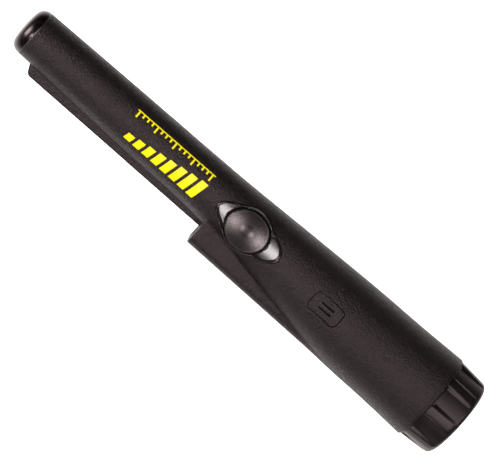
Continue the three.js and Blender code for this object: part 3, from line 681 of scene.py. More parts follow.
bars = []
pitch = (INK_END - INK_FOOT - BAR_SLANT) / BAR_COUNT
for i, reach_up in enumerate(BAR_HEIGHTS[::-1]):
    foot = INK_FOOT + i * pitch
    thick = pitch * BAR_SHARE
    slant = BAR_SLANT * reach_up / BAR_HEIGHTS[-1]
    bars.append(ink_patch(f"bar_{i}", [
        (BAR_LOW, foot + slant), (BAR_LOW + reach_up, foot),
        (BAR_LOW + reach_up, foot + thick), (BAR_LOW, foot + slant + thick)], 12, 4))
bars.append(ink_patch("rule", [(23.5, INK_FOOT), (26.0, INK_FOOT), (26.0, INK_END), (23.5, INK_END)], 3, 16))
for i in range(TICK_COUNT):
    foot = INK_FOOT + TICK_FOOT + i * (INK_END - INK_FOOT - 2.4) / (TICK_COUNT - 1)
    start = TICK_END - (14.5 if i % 4 == 0 else 7.5)
    bars.append(ink_patch(f"tick_{i}", [
        (start, foot), (TICK_END, foot), (TICK_END, foot + TICK_WIDTH), (start, foot + TICK_WIDTH)], 6, 2))
worn(joined_as("printed_mark", bars), ink, "housing", None)


# ---- The bezel ----
# A glossy black insert shaped like an eye, snapped into its pocket over a gasket. Two scoops
# lead a thumb down to the button, a thin lip runs round the edge, and a collar hugs the button.
BEZEL_BACK = -10.45
LIP = 0.34
SCOOP_EDGE_LOW = -12.15
SCOOP_EDGE_HIGH = -11.0
SCOOP_SLOPE = 0.135
SCOOP_BOW = 34.0
COLLAR_TOP = -13.0
HOLE_GAP = 0.32

gloss_black = Finish("glossy_abs", {"IOR": 1.52, "Coat Roughness": 0.12, "Coat IOR": 1.4})
smear = gloss_black.noise(7.0, 3.0)
specks = gloss_black.noise(0.6, 2.0)
tone = gloss_black.mixed(smear.between(0.3, 0.7), (0.010, 0.0085, 0.0085), (0.016, 0.0135, 0.0135))
gloss_black.set({
    "Base Color": tone,
    "Roughness": 0.23 + (smear - 0.5) * 0.10 + specks.between(0.6, 0.8) * 0.05,
    "Coat Weight": 0.2 + (smear - 0.5) * 0.2,
    "Normal": gloss_black.bump(smear * 0.8 + specks * 0.2, 0.02),
})


def bezel_ring(inward, rise):
    """One ring of the bezel, inward from its outline or at its hole, where rise gives its Y."""
    outer = eye_reach(around)
    inner = (BUTTON_HALF_X + HOLE_GAP) * (BUTTON_HALF_Z + HOLE_GAP) / np.hypot(
        (BUTTON_HALF_Z + HOLE_GAP) * np.cos(around), (BUTTON_HALF_X + HOLE_GAP) * np.sin(around))
    reach_out = np.maximum(outer - inward, inner) if inward is not None else inner
    px = BUTTON_X + reach_out * np.cos(around)
    pz = BUTTON_HEIGHT + reach_out * np.sin(around)
    return np.column_stack([px, rise(px, pz, outer - reach_out, reach_out - inner), pz])


def skin_y(px, pz):
    """The housing's own surface at a place on the front."""
    across = px - middle_at(pz)
    return -np.sqrt(np.maximum(radius_at(pz) ** 2 - across ** 2, 1.0))


def bezel_top(px, pz, from_edge, to_hole):
    skin = skin_y(px, pz)
    beside = np.clip((np.abs(px - BUTTON_X) - 4.4) / 3.2, 0, 1)
    beside = beside * beside * (3 - 2 * beside)
    crest = (1 - beside) * (skin - LIP) + beside * np.minimum(skin - LIP, COLLAR_TOP)
    away = np.maximum(np.abs(pz - BUTTON_HEIGHT) - BUTTON_HALF_Z, 0)
    edge = np.where(pz > BUTTON_HEIGHT, SCOOP_EDGE_HIGH, SCOOP_EDGE_LOW)
    scoop = edge - SCOOP_SLOPE * away - (px - BUTTON_X) ** 2 / (2 * SCOOP_BOW)
    scoop = np.maximum(scoop, skin + 0.10)
    round_lip = np.clip(from_edge / 0.30, 0, 1)
    rise = crest + 0.30 * (1 - np.sqrt(np.clip(1 - (1 - round_lip) ** 2, 0, 1)))
    fall = np.clip((from_edge - 0.42) / 0.55, 0, 1)
    fall = fall * fall * (3 - 2 * fall) * (1 - beside)
    return rise * (1 - fall) + scoop * fall + 0.18 * np.clip(1 - to_hole / 0.15, 0, 1) ** 2


def bezel_floor(px, pz, from_edge, to_hole):
    return np.full(len(px), BEZEL_BACK)


flat_back = bezel_ring(0.0, bezel_floor)
hole_back = bezel_ring(None, bezel_floor)
wall_foot = bezel_ring(0.0, lambda px, pz, edge, hole: np.minimum(skin_y(px, pz) + 0.4, BEZEL_BACK - 0.1))
STEPS_IN = [0.0, 0.03, 0.08, 0.15, 0.22, 0.30, 0.38, 0.46, 0.54, 0.62, 0.70, 0.80, 0.92, 1.05, 1.25, 1.6,
            2.1, 2.7, 3.3, 3.9, 4.5, 5.1, 5.7, 6.1, None]
top_rings = [bezel_ring(step, bezel_top) for step in STEPS_IN]
bezel = lofted("bezel_insert", [flat_back, wall_foot, *top_rings, hole_back, flat_back], False)
worn(bezel, gloss_black, "housing", "bezel", "button_bezel")


# ---- The push button ----
# A satin black cap over a spring, dished for the thumb with a small dimple in the middle. Its
# rim is rounded, and a skirt below slides in the bezel.
DISH = 0.85
DIMPLE = 0.11
BUTTON_TOP = -13.95
BUTTON_BACK = BUTTON_TOP + 7.4

POST_REACH = 2.4
HOLLOW_TOP = 2.4
HOLLOW_WALL = 1.6


def two_tone(name, constants, tones, patches, grains, gloss, relief, metal=None, edges=(0.3, 0.7)):
    """A finish that wanders between two tones. Patches and grains each hold the size of their
    lumps in millimetres, their detail and how much they change the gloss."""
    made = Finish(name, constants)
    patch = made.noise(*patches[:2])
    grain = made.noise(*grains[:2])
    if metal:
        base, change = metal
        made.set({"Metallic": base + (patch - 0.5) * change})
    return made.set({
        "Base Color": made.mixed(patch.between(*edges), *tones),
        "Roughness": gloss + (patch - 0.5) * patches[2] + (grain - 0.5) * grains[2],
        "Normal": made.bump(grain, relief),
    })


satin = two_tone(
    "satin_abs", {"IOR": 1.5, "Specular Tint": (1.0, 0.88, 0.90, 1)},
    [(0.0090, 0.0070, 0.0068), (0.0125, 0.0100, 0.0097)], (6.0, 3.0, 0.08), (0.35, 2.0, 0.06), 0.27, 0.015)


def button_ring(share, y):
    """An oval ring of the button, share of its full size across, at one Y or at a Y each."""
    px = BUTTON_X + BUTTON_HALF_X * share * np.cos(around)
    pz = BUTTON_HEIGHT + BUTTON_HALF_Z * share * np.sin(around)
    return np.column_stack([px, np.full(len(around), y), pz])


def dish_y(share):
    """The dished top: a rounded rim, a shallow bowl and a dimple."""
    bowl = DISH * (1 - (share / 0.93) ** 2) if share < 0.93 else 0.0
    well = DIMPLE * math.exp(-((share / 0.24) ** 4))
    return BUTTON_TOP + bowl + well


rings = [button_ring(share, y) for share, y in (
    (0.80, BUTTON_BACK), (0.975, BUTTON_BACK), (0.975, BUTTON_TOP + 3.2),
    (1.0, BUTTON_TOP + 3.0), (1.0, BUTTON_TOP + 0.75))]
for bend in np.radians(np.linspace(0, 82, 8)):
    rings.append(button_ring(0.93 + 0.07 * math.cos(bend), BUTTON_TOP + 0.7 * (1 - math.sin(bend))))
for share in np.linspace(0.92, 0.0, 32):
    rings.append(button_ring(share, dish_y(share)))
push_button = lofted("push_button", rings)
inside = oval(BUTTON_X, BUTTON_HEIGHT, BUTTON_HALF_X - HOLLOW_WALL, BUTTON_HALF_Z - HOLLOW_WALL)
combined(push_button, "DIFFERENCE", prism(
    "hollow_tool", inside, BUTTON_TOP + HOLLOW_TOP, BUTTON_BACK + 1))
post = copied("button", "post_tool")
post_core = oval(BUTTON_X, BUTTON_HEIGHT, POST_REACH, POST_REACH, 24)
combined(post, "INTERSECT", prism("core_tool", post_core, BUTTON_TOP + 2.2, 0))
combined(push_button, "UNION", post)
worn(push_button, satin, "button", "button", "button")


# ---- The sounder's port ----
# A small plate of the same plastic, pressed into its pocket, with two slots that let the
# sound out. Its face follows the handle, and each slot has a ramp along its +X side.
SLOT_APART = 2.25
SLOT_HALF_WIDTH = 0.42
SLOT_HALF_LENGTH = 3.1
RAMP_NEAR = 0.3
RAMP_FAR = 1.15
RAMP_DEEP = -16.4
PLATE_FRONT = -30
PLATE_SUNK = 0.06

plate = prism("port_plate", rounded(GRILLE_X, GRILLE_Z, GRILLE_HALF_X, GRILLE_HALF_Z, GRILLE_CORNER),
              PLATE_FRONT, GRILLE_BACK)
combined(plate, "INTERSECT", lofted("face_tool", handle_rings(PLATE_SUNK, 1.0)))
for side in (-1, 1):
    slot_x = GRILLE_X + side * SLOT_APART / 2
    slot = rounded(slot_x, GRILLE_Z, SLOT_HALF_WIDTH, SLOT_HALF_LENGTH, SLOT_HALF_WIDTH - 0.01)
    combined(plate, "DIFFERENCE", prism("slot_tool", slot, PLATE_FRONT, 0))
    wedge = [(slot_x - RAMP_NEAR, PLATE_FRONT), (slot_x + RAMP_FAR, PLATE_FRONT),
             (slot_x + RAMP_FAR, GRILLE_FRONT), (slot_x - RAMP_NEAR, RAMP_DEEP)]
    ends = (GRILLE_Z - SLOT_HALF_LENGTH, GRILLE_Z + SLOT_HALF_LENGTH)
    combined(plate, "DIFFERENCE", lofted("ramp_tool", [[(x, y, z) for x, y in wedge] for z in ends]))
worn(plate, shell, "housing", "shell", "sounder_grille")


# ---- The port's dust screen and the sounder ----
# A scrap of open-cell foam keeps dust out behind the slots. The piezo sounder is a moulded
# can with one hole in its face, held in the housing behind the screen.
def turned(name, profile, x, across, axis="Z", count=48):
    """A solid turned about a line along Z or Y; the profile holds radii and places on the line."""
    turn = np.linspace(0, 2 * math.pi, count, endpoint=False)
    rings = []
    for radius, place in profile:
        first = x + radius * np.cos(turn)
        second = across + radius * np.sin(turn)
        along = np.full(count, place)
        rings.append(np.column_stack([first, second, along] if axis == "Z" else [first, along, second]))
    return lofted(name, rings, False)


def smooth_copy(node, name, finish, body, slot, sharp=32):
    """A CAD node's own shape, welded and smooth, in place of the node."""
    return worn(tidied(copied(node, name), sharp), finish, body, slot, node)


FOAM_CELLS = 1900.0
SCREEN_CORNER = 0.8

foam = Finish("open_foam", {"IOR": 1.45, "Specular IOR Level": 0.2})
cells = foam.node(
    "ShaderNodeTexVoronoi", {"feature": "DISTANCE_TO_EDGE"}, {"Vector": foam.place, "Scale": FOAM_CELLS})
dust = foam.noise(3.0, 3.0)
# The cells' middles are painted near black: painted shade in the pores. The struts round them keep a grey
# tone and stand up in the bump.
strut_relief_and_pore_shade = cells.between(0.16, 0.02)
struts = foam.mixed(dust, (0.045, 0.045, 0.047), (0.07, 0.069, 0.07))
foam.set({
    "Base Color": foam.mixed(strut_relief_and_pore_shade, (0.010, 0.010, 0.011), struts),
    "Roughness": 0.88 + (dust - 0.5) * 0.12,
    "Normal": foam.bump(strut_relief_and_pore_shade + dust * 0.3, 0.16),
})
(x, _, z), (half_x, _, half_z) = extent("sounder_mesh")
low, high = corners("sounder_mesh")
dust_screen = prism("dust_screen", rounded(x, z, half_x, half_z, SCREEN_CORNER), low.y, high.y)
worn(dust_screen, foam, "housing", "foam", "sounder_mesh")

epoxy = two_tone(
    "moulded_epoxy", {"IOR": 1.54}, [(0.010, 0.010, 0.011), (0.017, 0.016, 0.017)],
    (4.0, 2.0, 0.12), (0.22, 3.0, 0.18), 0.42, 0.03)
(x, _, z), (r, _, _) = extent("sounder")
front, back = (corner.y for corner in corners("sounder"))
sounder_can = turned("sounder_can", [
    (0, front + 0.8), (1.0, front + 0.8), (1.0, front + 0.1), (1.1, front), (r - 0.3, front),
    (r - 0.08, front + 0.1), (r, front + 0.3), (r, back - 0.5), (r - 0.15, back - 0.45),
    (r - 0.15, back), (0, back)], x, z, "Y")
worn(sounder_can, epoxy, "housing", "chip", "sounder")


# ---- The lamp and its lens ----
# A clear stepped lens is glued into the hood's front face. Behind it stands a white LED with
# a domed epoxy body on a thicker flange.
LENS_FLANGE = 2.9
LENS_RADIUS = 2.4
LED_FLANGE = 2.9
LED_RADIUS = 2.5

clear = Finish("clear_polycarbonate", {"IOR": 1.58, "Transmission Weight": 1.0})
wipes = clear.noise(1.6, 3.0)
clear.set({
    "Base Color": clear.mixed(wipes, (0.86, 0.92, 0.95), (0.93, 0.96, 0.97)),
    "Roughness": 0.03 + wipes.between(0.5, 0.8) * 0.10,
    "Normal": clear.bump(wipes, 0.01),
})
low, high = corners("lamp_lens")
lamp_lens = turned("lens_insert", [
    (0, low.z), (LENS_FLANGE, low.z), (LENS_FLANGE, low.z + 1.2), (LENS_RADIUS, low.z + 1.2),
    (LENS_RADIUS, high.z - 0.2), (LENS_RADIUS - 0.1, high.z - 0.06), (2.15, high.z), (0, high.z)], LAMP_X, 0)
worn(lamp_lens, clear, "housing", "clear", "lamp_lens")

milky = Finish("led_epoxy", {"IOR": 1.52, "Transmission Weight": 0.7})
haze = milky.noise(0.9, 2.0)
x, y, z = milky.axes()
phosphor = z.between(119.0, 117.5)
yellow = milky.mixed(haze, (0.80, 0.70, 0.25), (0.88, 0.80, 0.38))
milky.set({
    "Base Color": milky.mixed(phosphor, (0.88, 0.90, 0.92), yellow),
    "Roughness": 0.06 + (haze - 0.5) * 0.05 + phosphor * 0.1,
    "Normal": milky.bump(haze, 0.01),
})
low, high = corners("lamp")
dome = [(LED_RADIUS * math.sin(a), high.z - LED_RADIUS + LED_RADIUS * math.cos(a))
        for a in np.radians(np.linspace(90, 0, 14))]
led = turned("led_lamp", [
    (0, low.z), (LED_FLANGE - 0.1, low.z), (LED_FLANGE, low.z + 0.1), (LED_FLANGE, low.z + 0.9),
    (LED_FLANGE - 0.1, low.z + 1.0), (LED_RADIUS, low.z + 1.0), *dome], LAMP_X, 0)
worn(led, milky, "housing", "clear", "lamp")


# ---- The coils ----
# A ferrite rod stands in the tube on a nylon former with three flanges. Two windings of
# enamelled wire fill its bays, and a foam pad keeps the rod off the nose.
TUBE_X = 3.3
ROD_RADIUS = 4.5
BOBBIN_BORE = 4.6
BOBBIN_CORE = 5.4
BOBBIN_EDGE = 0.12
FLANGE = 1.2
COIL_BORE = 5.6
WIRE_PITCH = 0.25

sintered = Finish("sintered_ferrite", {"IOR": 1.9})
pores = sintered.noise(0.18, 3.0)
batch = sintered.noise(8.0, 2.0)
sintered.set({
    "Base Color": sintered.mixed(batch.between(0.3, 0.7), (0.034, 0.034, 0.038), (0.052, 0.051, 0.055)),
    "Roughness": 0.50 + (pores - 0.5) * 0.25,
    "Metallic": 0.25 + (batch - 0.5) * 0.2,
    "Normal": sintered.bump(pores, 0.05),
})
low, high = corners("ferrite_rod")
rod = turned("ferrite_core", [
    (0, low.z), (ROD_RADIUS - 0.3, low.z), (ROD_RADIUS, low.z + 0.3), (ROD_RADIUS, high.z - 0.3),
    (ROD_RADIUS - 0.3, high.z), (0, high.z)], TUBE_X, 0)
worn(rod, sintered, "housing", "ferrite", "ferrite_rod")

nylon = two_tone(
    "natural_nylon", {"IOR": 1.53, "Subsurface Weight": 0.08, "Subsurface Scale": 0.001},
    [(0.56, 0.53, 0.46), (0.66, 0.64, 0.58)], (9.0, 3.0, 0.10), (0.4, 3.0, 0.15), 0.44, 0.03)
low, high = corners("coil_former")
_, (rim, _, _) = extent("coil_former")
centre = (low.z + high.z) / 2
profile = [(BOBBIN_BORE, low.z)]
for foot, top in (
        (low.z, low.z + FLANGE), (centre - FLANGE / 2, centre + FLANGE / 2), (high.z - FLANGE, high.z)):
    profile += [(BOBBIN_CORE, foot), (rim - BOBBIN_EDGE, foot), (rim, foot + BOBBIN_EDGE),
                (rim, top - BOBBIN_EDGE), (rim - BOBBIN_EDGE, top), (BOBBIN_CORE, top)]
profile += [(BOBBIN_BORE, high.z), (BOBBIN_BORE, low.z)]
worn(turned("coil_bobbin", profile, TUBE_X, 0), nylon, "housing", "nylon", "coil_former")

enamel = Finish("enamelled_wire", {"IOR": 1.6, "Coat Roughness": 0.15})
x, y, z = enamel.axes()
# The wire is painted darker in the grooves between turns: painted shade. The same ridges drive the bump.
turn_relief_and_groove_shade = z.maths("PINGPONG", z, 0.11) * 9.0
lacquer = enamel.noise(4.0, 3.0)
crest = enamel.mixed(lacquer, (0.60, 0.24, 0.09), (0.70, 0.31, 0.12))
enamel.set({
    "Base Color": enamel.mixed(turn_relief_and_groove_shade, (0.20, 0.065, 0.022), crest),
    "Metallic": 0.75 + (lacquer - 0.5) * 0.2,
    "Roughness": 0.28 + (lacquer - 0.5) * 0.12,
    "Coat Weight": 0.5 + (lacquer - 0.5) * 0.3,
    "Normal": enamel.bump(turn_relief_and_groove_shade, 0.08),
})
for node, name in (("receive_winding", "receive_coil"), ("transmit_winding", "transmit_coil")):
    low, high = corners(node)
    _, (outer, _, _) = extent(node)
    layers = [(COIL_BORE, low.z), (outer - 0.15, low.z), (outer, low.z + 0.15)]
    for strand in np.arange(low.z + 0.5, high.z - 0.5, WIRE_PITCH):
        layers += [(outer, strand), (outer - 0.05, strand + WIRE_PITCH / 2)]
    layers += [(outer, high.z - 0.15), (outer - 0.15, high.z), (COIL_BORE, high.z), (COIL_BORE, low.z)]
    worn(turned(name, layers, TUBE_X, 0), enamel, "housing", "copper", node)


def soft_disc(outer, low, high, edge):
    """The profile of a round foam pad whose rim bulges a little."""
    return [(0, low), (outer - edge, low), (outer - edge * 0.2, low + edge), (outer, (low + high) / 2),
            (outer - edge * 0.2, high - edge), (outer - edge, high), (0, high)]


low, high = corners("nose_pad")
_, (outer, _, _) = extent("nose_pad")
nose_foam = turned("nose_foam", soft_disc(outer, low.z, high.z, 0.2), TUBE_X, 0)
worn(nose_foam, foam, "housing", "foam", "nose_pad")


# ---- The chassis and its screws ----
# One nylon moulding: a bulkhead over the battery and a spine that carries the board and the
# motor. Two zinc-plated screws hold it to the housing's bosses, two smaller ones the board.
THREAD_CORE = 0.72
THREAD_CREST = 0.95
THREAD_PITCH = 0.5
HEAD_RADIUS = 1.6
CROSS_REACH = 0.95
CROSS_HALF = 0.2
CROSS_DEPTH = 0.7

smooth_copy("chassis", "chassis_frame", nylon, "housing", "nylon")
steel = two_tone(
    "zinc_plate", {}, [(0.50, 0.51, 0.52), (0.62, 0.62, 0.61)],
    (3.5, 3.0, 0.18), (0.5, 4.0, 0.15), 0.28, 0.012, (0.95, 0.1))


def block(name, low, high):
    """A plain block between two corners, for cutting with."""
    (x0, y0, z0), (x1, y1, z1) = low, high
    return lofted(name, [[(x0, y0, h), (x1, y0, h), (x1, y1, h), (x0, y1, h)] for h in (z0, z1)])


def crossed(made, x, across, face, reach, half, depth, axis):
    """Cuts a cross into a face of a piece."""
    for a, b in ((reach, half), (half, reach)):
        cut = [[x - a, across - b, face - 1], [x + a, across + b, face + depth]]
        if axis == "Y":
            cut = [[along, place, second] for along, second, place in cut]
        combined(made, "DIFFERENCE", block("cross_tool", *cut))
    return made


def screw(name, node, axis, head, point):
    """A round-headed screw. Head holds its shoulder, its edge's height and its depth, and point
    the taper's length, how far from the tip the thread ends and the tip's radius."""
    shoulder, edge, depth = head
    taper, stop, blunt = point
    (x, y, z), _ = extent(node)
    low, high = corners(node)
    face, tip, across = (low.z, high.z, y) if axis == "Z" else (low.y, high.y, z)
    profile = [(0, face), (1.25, face), (shoulder, face + 0.25), (HEAD_RADIUS, face + edge),
               (HEAD_RADIUS, face + depth), (THREAD_CREST, face + depth)]
    for rise in np.arange(face + 1.8, tip - stop, THREAD_PITCH):
        profile += [(THREAD_CORE, rise), (THREAD_CREST, rise + THREAD_PITCH / 2)]
    profile += [(THREAD_CORE, tip - taper), (blunt, tip), (0, tip)]
    made = turned(name, profile, x, across, axis)
    crossed(made, x, across, face, CROSS_REACH, CROSS_HALF, CROSS_DEPTH, axis)
    return worn(made, steel, "housing", "steel", node)


for side in ("left", "right"):
    screw("screw_" + side, "chassis_screw_" + side, "Z", (1.55, 1.0, 1.2), (0.9, 1.2, 0.25))
for i in (1, 2):
    screw(f"pcb_screw_{i}", f"board_screw_{i}", "Y", (1.5, 0.9, 1.3), (0.4, 0.6, 0.3))


# ---- The circuit board and its parts ----
# A 1.6 mm glass-epoxy board under green solder mask. On its front sit the processor, the coil
# amplifier, the crystal's steel can and two electrolytic capacitors in shrink sleeves.
mask = Finish("solder_mask", {"IOR": 1.55, "Coat Roughness": 0.2})
tracks = mask.node("ShaderNodeTexBrick", {"offset": 0.5}, {
    "Vector": mask.place, "Scale": 260.0, "Mortar Size": 0.02}, 1)
weave = mask.noise(0.3, 2.0)
film = mask.noise(14.0, 3.0)
field = mask.mixed(film.between(0.3, 0.7), (0.010, 0.085, 0.030), (0.014, 0.115, 0.042))
mask.set({
    "Base Color": mask.mixed(tracks * 0.6, field, (0.030, 0.175, 0.070)),
    "Roughness": 0.28 + (film - 0.5) * 0.10 + (weave - 0.5) * 0.08,
    "Coat Weight": 0.4 + (film - 0.5) * 0.2,
    "Normal": mask.bump(tracks * 0.7 + weave * 0.3, 0.03),
})
smooth_copy("main_board", "circuit_board", mask, "housing", "circuit_board")
nickel = two_tone(
    "nickel_plate", {}, [(0.66, 0.62, 0.55), (0.52, 0.47, 0.40)],
    (2.5, 4.0, 0.16), (0.3, 2.0, 0.10), 0.20, 0.008, (0.97, 0.05), (0.35, 0.7))

CHIP_DRAFT = 0.12
PIN_ONE = 0.9
LEG_HALF = 0.17


def packaged(node, name, leads):
    """A moulded chip with bevelled edges and a pin-one dimple, and its bent legs as one piece."""
    low, high = corners(node)
    middle = (low.y + high.y) / 2
    rings = []
    for d, y in ((CHIP_DRAFT, low.y), (0.0, middle), (CHIP_DRAFT, high.y - 0.1)):
        left, right, foot, top = low.x + d, high.x - d, low.z + d, high.z - d
        rings.append([(left, y, foot), (right, y, foot), (right, y, top), (left, y, top)])
    body = lofted(name, rings)
    dimple = [(0, low.y - 1), (0.35, low.y - 1), (0.35, low.y + 0.12), (0, low.y + 0.12)]
    combined(body, "DIFFERENCE", turned(
        "dimple_tool", dimple, low.x + PIN_ONE, high.z - PIN_ONE, "Y", 20))
    worn(body, epoxy, "housing", "chip", node)
    legs = []
    for side, edge in ((-1, low.x), (1, high.x)):
        inner, bend, outer = edge - side * 0.1, edge + side * 0.35, edge + side * 0.8
        outline = [
            (inner, middle), (bend, middle), (bend + side * 0.1, high.y - 0.02), (outer, high.y - 0.02),
            (outer, high.y + 0.07), (bend, high.y + 0.07), (bend - side * 0.1, middle + 0.1),
            (inner, middle + 0.1)]
        for z in np.linspace(low.z + 0.6, high.z - 0.6, leads):
            legs.append(lofted("leg", [[(a, b, z + h) for a, b in outline] for h in (-LEG_HALF, LEG_HALF)]))
    worn(joined_as(name + "_legs", legs), nickel, "housing", "nickel")


packaged("processor", "processor_chip", 8)
packaged("amplifier", "amplifier_chip", 5)

CAN_CORNER = 1.1
(x, _, z), (half_x, _, half_z) = extent("crystal")
top, foot = (corner.y for corner in corners("crystal"))
crystal_rings = []
for inset, y in (
        (0.0, foot), (0.0, foot - 0.35), (0.3, foot - 0.4), (0.3, top + 0.3), (0.42, top + 0.08), (0.7, top)):
    outline = rounded(x, z, half_x - inset, half_z - inset, CAN_CORNER)
    crystal_rings.append([(a, y, b) for a, b in outline])
worn(lofted("crystal_can", crystal_rings), steel, "housing", "steel", "crystal")

sleeve = Finish("shrink_sleeve", {"IOR": 1.54})
shrink = sleeve.noise(1.8, 3.0)
x, y, z = sleeve.axes()
stripe = x.maths("PINGPONG", x, 3.0).between(0.5, 0.2)
field = sleeve.mixed(shrink, (0.016, 0.024, 0.075), (0.024, 0.036, 0.105))
sleeve.set({
    "Base Color": sleeve.mixed(stripe, field, (0.30, 0.31, 0.33)),
    "Roughness": 0.32 + (shrink - 0.5) * 0.14,
    "Normal": sleeve.bump(shrink, 0.03),
})
for node, name in (("capacitor_supply", "supply_capacitor"), ("capacitor_filter", "filter_capacitor")):
    (x, _, z), (r, _, _) = extent(node)
    top, foot = (corner.y for corner in corners(node))
    can = turned(name, [
        (0, top + 0.08), (r - 0.55, top + 0.08), (r - 0.5, top), (r - 0.2, top), (r, top + 0.25),
        (r, foot - 1.2), (r - 0.18, foot - 0.95), (r, foot - 0.7), (r, foot - 0.15), (r - 0.2, foot),
        (0, foot)], x, z, "Y")
    crossed(can, x, z, top, r - 0.9, 0.06, 0.18, "Y")
    worn(can, sleeve, "housing", "capacitor_sleeve", node)


# ---- The push switch ----
# A square tactile switch soldered to the board under the button. Its nylon stem stands in a
# round well and moves in with the button; a coil spring round it lifts the button again.
SPRING_TURNS = 4
SPRING_STEPS = 40
SPRING_WIRE = 0.3

smooth_copy("push_switch", "switch_case", epoxy, "housing", "chip")
low, high = corners("push_switch_stem")
(x, _, z), (r, _, _) = extent("push_switch_stem")
stem = turned("switch_stem", [
    (0, low.y), (r - 0.2, low.y), (r, low.y + 0.2), (r, high.y - 0.1), (r - 0.1, high.y),
    (0, high.y)], x, z, "Y")
worn(stem, nylon, "button", "nylon", "push_switch_stem")


def swept(name, path, radius, sides=12):
    """A round wire along a path."""
    path = np.asarray(path, float)
    ways = np.gradient(path, axis=0)
    ways /= np.linalg.norm(ways, axis=1)[:, None]
    side = np.cross(ways[0], (0.31, 0.87, 0.39))
    turn = np.linspace(0, 2 * math.pi, sides, endpoint=False)
    rings = []
    for point, way in zip(path, ways):
        side = side - way * (side @ way)
        side /= np.linalg.norm(side)
        other = np.cross(way, side)
        rings.append(point + radius * (np.outer(np.cos(turn), side) + np.outer(np.sin(turn), other)))
    return lofted(name, rings)


low, high = corners("button_spring")
(x, _, z), (r, _, _) = extent("button_spring")
coil = np.linspace(0, 1, SPRING_TURNS * SPRING_STEPS + 1)
angle = coil * SPRING_TURNS * 2 * math.pi
spring_path = np.column_stack([
    x + (r - SPRING_WIRE) * np.cos(angle),
    high.y - SPRING_WIRE + coil * (low.y - high.y + 2 * SPRING_WIRE),
    z + (r - SPRING_WIRE) * np.sin(angle)])
return_spring = swept("return_spring", spring_path, SPRING_WIRE)
worn(return_spring, steel, "housing", "steel", "button_spring")
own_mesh(return_spring)


# ---- The vibration motor ----
# A 6 mm can motor in a rubber boot on the spine. Its shaft turns a half-round weight, which
# shakes the probe when it finds metal.
BOOT_BORE = 3.1
BOOT_RIBS = 1.6

(MOTOR_X, MOTOR_Y, _), _ = extent("vibration_motor")
low, high = corners("vibration_motor")
top = high.z
can = turned("motor_can", [
    (0, low.z), (2.6, low.z), (2.9, low.z + 0.1), (3.0, low.z + 0.35), (3.0, top - 0.4), (2.85, top - 0.1),
    (2.6, top), (1.3, top), (1.25, top - 0.1), (0.7, top - 0.1), (0.7, top - 2.9), (0, top - 2.9)],
    MOTOR_X, MOTOR_Y)
worn(can, steel, "housing", "steel", "vibration_motor")

rubber = two_tone(
    "black_rubber", {"IOR": 1.52, "Specular IOR Level": 0.3}, [(0.010, 0.010, 0.010), (0.024, 0.023, 0.023)],
    (5.0, 4.0, 0.16), (0.3, 2.0, 0.1), 0.68, 0.03, None, (0.35, 0.75))
low, high = corners("motor_boot")
_, (outer, _, _) = extent("motor_boot")
boot = [(BOOT_BORE, low.z), (outer - 0.2, low.z), (outer, low.z + 0.2)]
for rib in np.arange(low.z + 1.4, high.z - 1.0, BOOT_RIBS):
    boot += [(outer, rib - 0.4), (outer - 0.12, rib - 0.2), (outer - 0.12, rib + 0.2), (outer, rib + 0.4)]
boot += [(outer, high.z - 0.2), (outer - 0.2, high.z), (BOOT_BORE, high.z), (BOOT_BORE, low.z)]
worn(turned("rubber_boot", boot, MOTOR_X, MOTOR_Y), rubber, "housing", "rubber", "motor_boot")

low, high = corners("motor_shaft")
shaft = turned("drive_shaft", [
    (0, low.z), (0.42, low.z), (0.5, low.z + 0.08), (0.5, high.z - 0.12), (0.38, high.z), (0, high.z)],
    MOTOR_X, MOTOR_Y, "Z", 24)
worn(shaft, steel, "motor_rotor", "steel", "motor_shaft")
smooth_copy("eccentric_weight", "half_round_weight", nickel, "motor_rotor", "nickel")


# ---- The wires ----
# PVC insulated wire, soldered at both ends: one pair each from the battery contacts, the
# motor, the lamp and the sounder, and one pair down from the coils.
def insulation(name, dark, pale):
    """Coloured PVC, a little duller where it was handled."""
    made = Finish(name, {"IOR": 1.53})
    handling = made.noise(3.0, 3.0)
    ripple = made.noise(0.5, 2.0)
    return made.set({
        "Base Color": made.mixed(handling.between(0.3, 0.7), dark, pale),
        "Roughness": 0.34 + (handling - 0.5) * 0.16,
        "Normal": made.bump(ripple, 0.015),
    })


WIRE_SHARP = 50
pvc = {
    "red": insulation("red_pvc", (0.32, 0.014, 0.010), (0.43, 0.026, 0.020)),
    "black": insulation("black_pvc", (0.010, 0.010, 0.010), (0.022, 0.021, 0.021)),
    "yellow": insulation("yellow_pvc", (0.55, 0.36, 0.022), (0.68, 0.47, 0.040)),
}
for served in ("battery", "motor", "lamp", "sounder", "coil"):
    for colour in ("yellow" if served == "coil" else "red", "black"):
        smooth_copy(f"{served}_lead_{colour}", f"{served}_wire_{colour}", pvc[colour], "housing",
                    colour + "_wire", WIRE_SHARP)


# ---- The bezel's gasket ----
# A thin rubber washer of the bezel's own outline, which keeps wet out of the button's pocket.
# It is held between the bezel and the pocket's floor.
smooth_copy("bezel_gasket", "bezel_seal", rubber, "housing", "rubber")


# ---- The battery's contacts ----
# Two round spring plates of nickel-plated brass on the bulkhead, each with a tab for its wire.
# The battery's snaps press against them.
for end in ("positive", "negative"):
    smooth_copy("contact_" + end, "plate_" + end, nickel, "housing", "nickel")


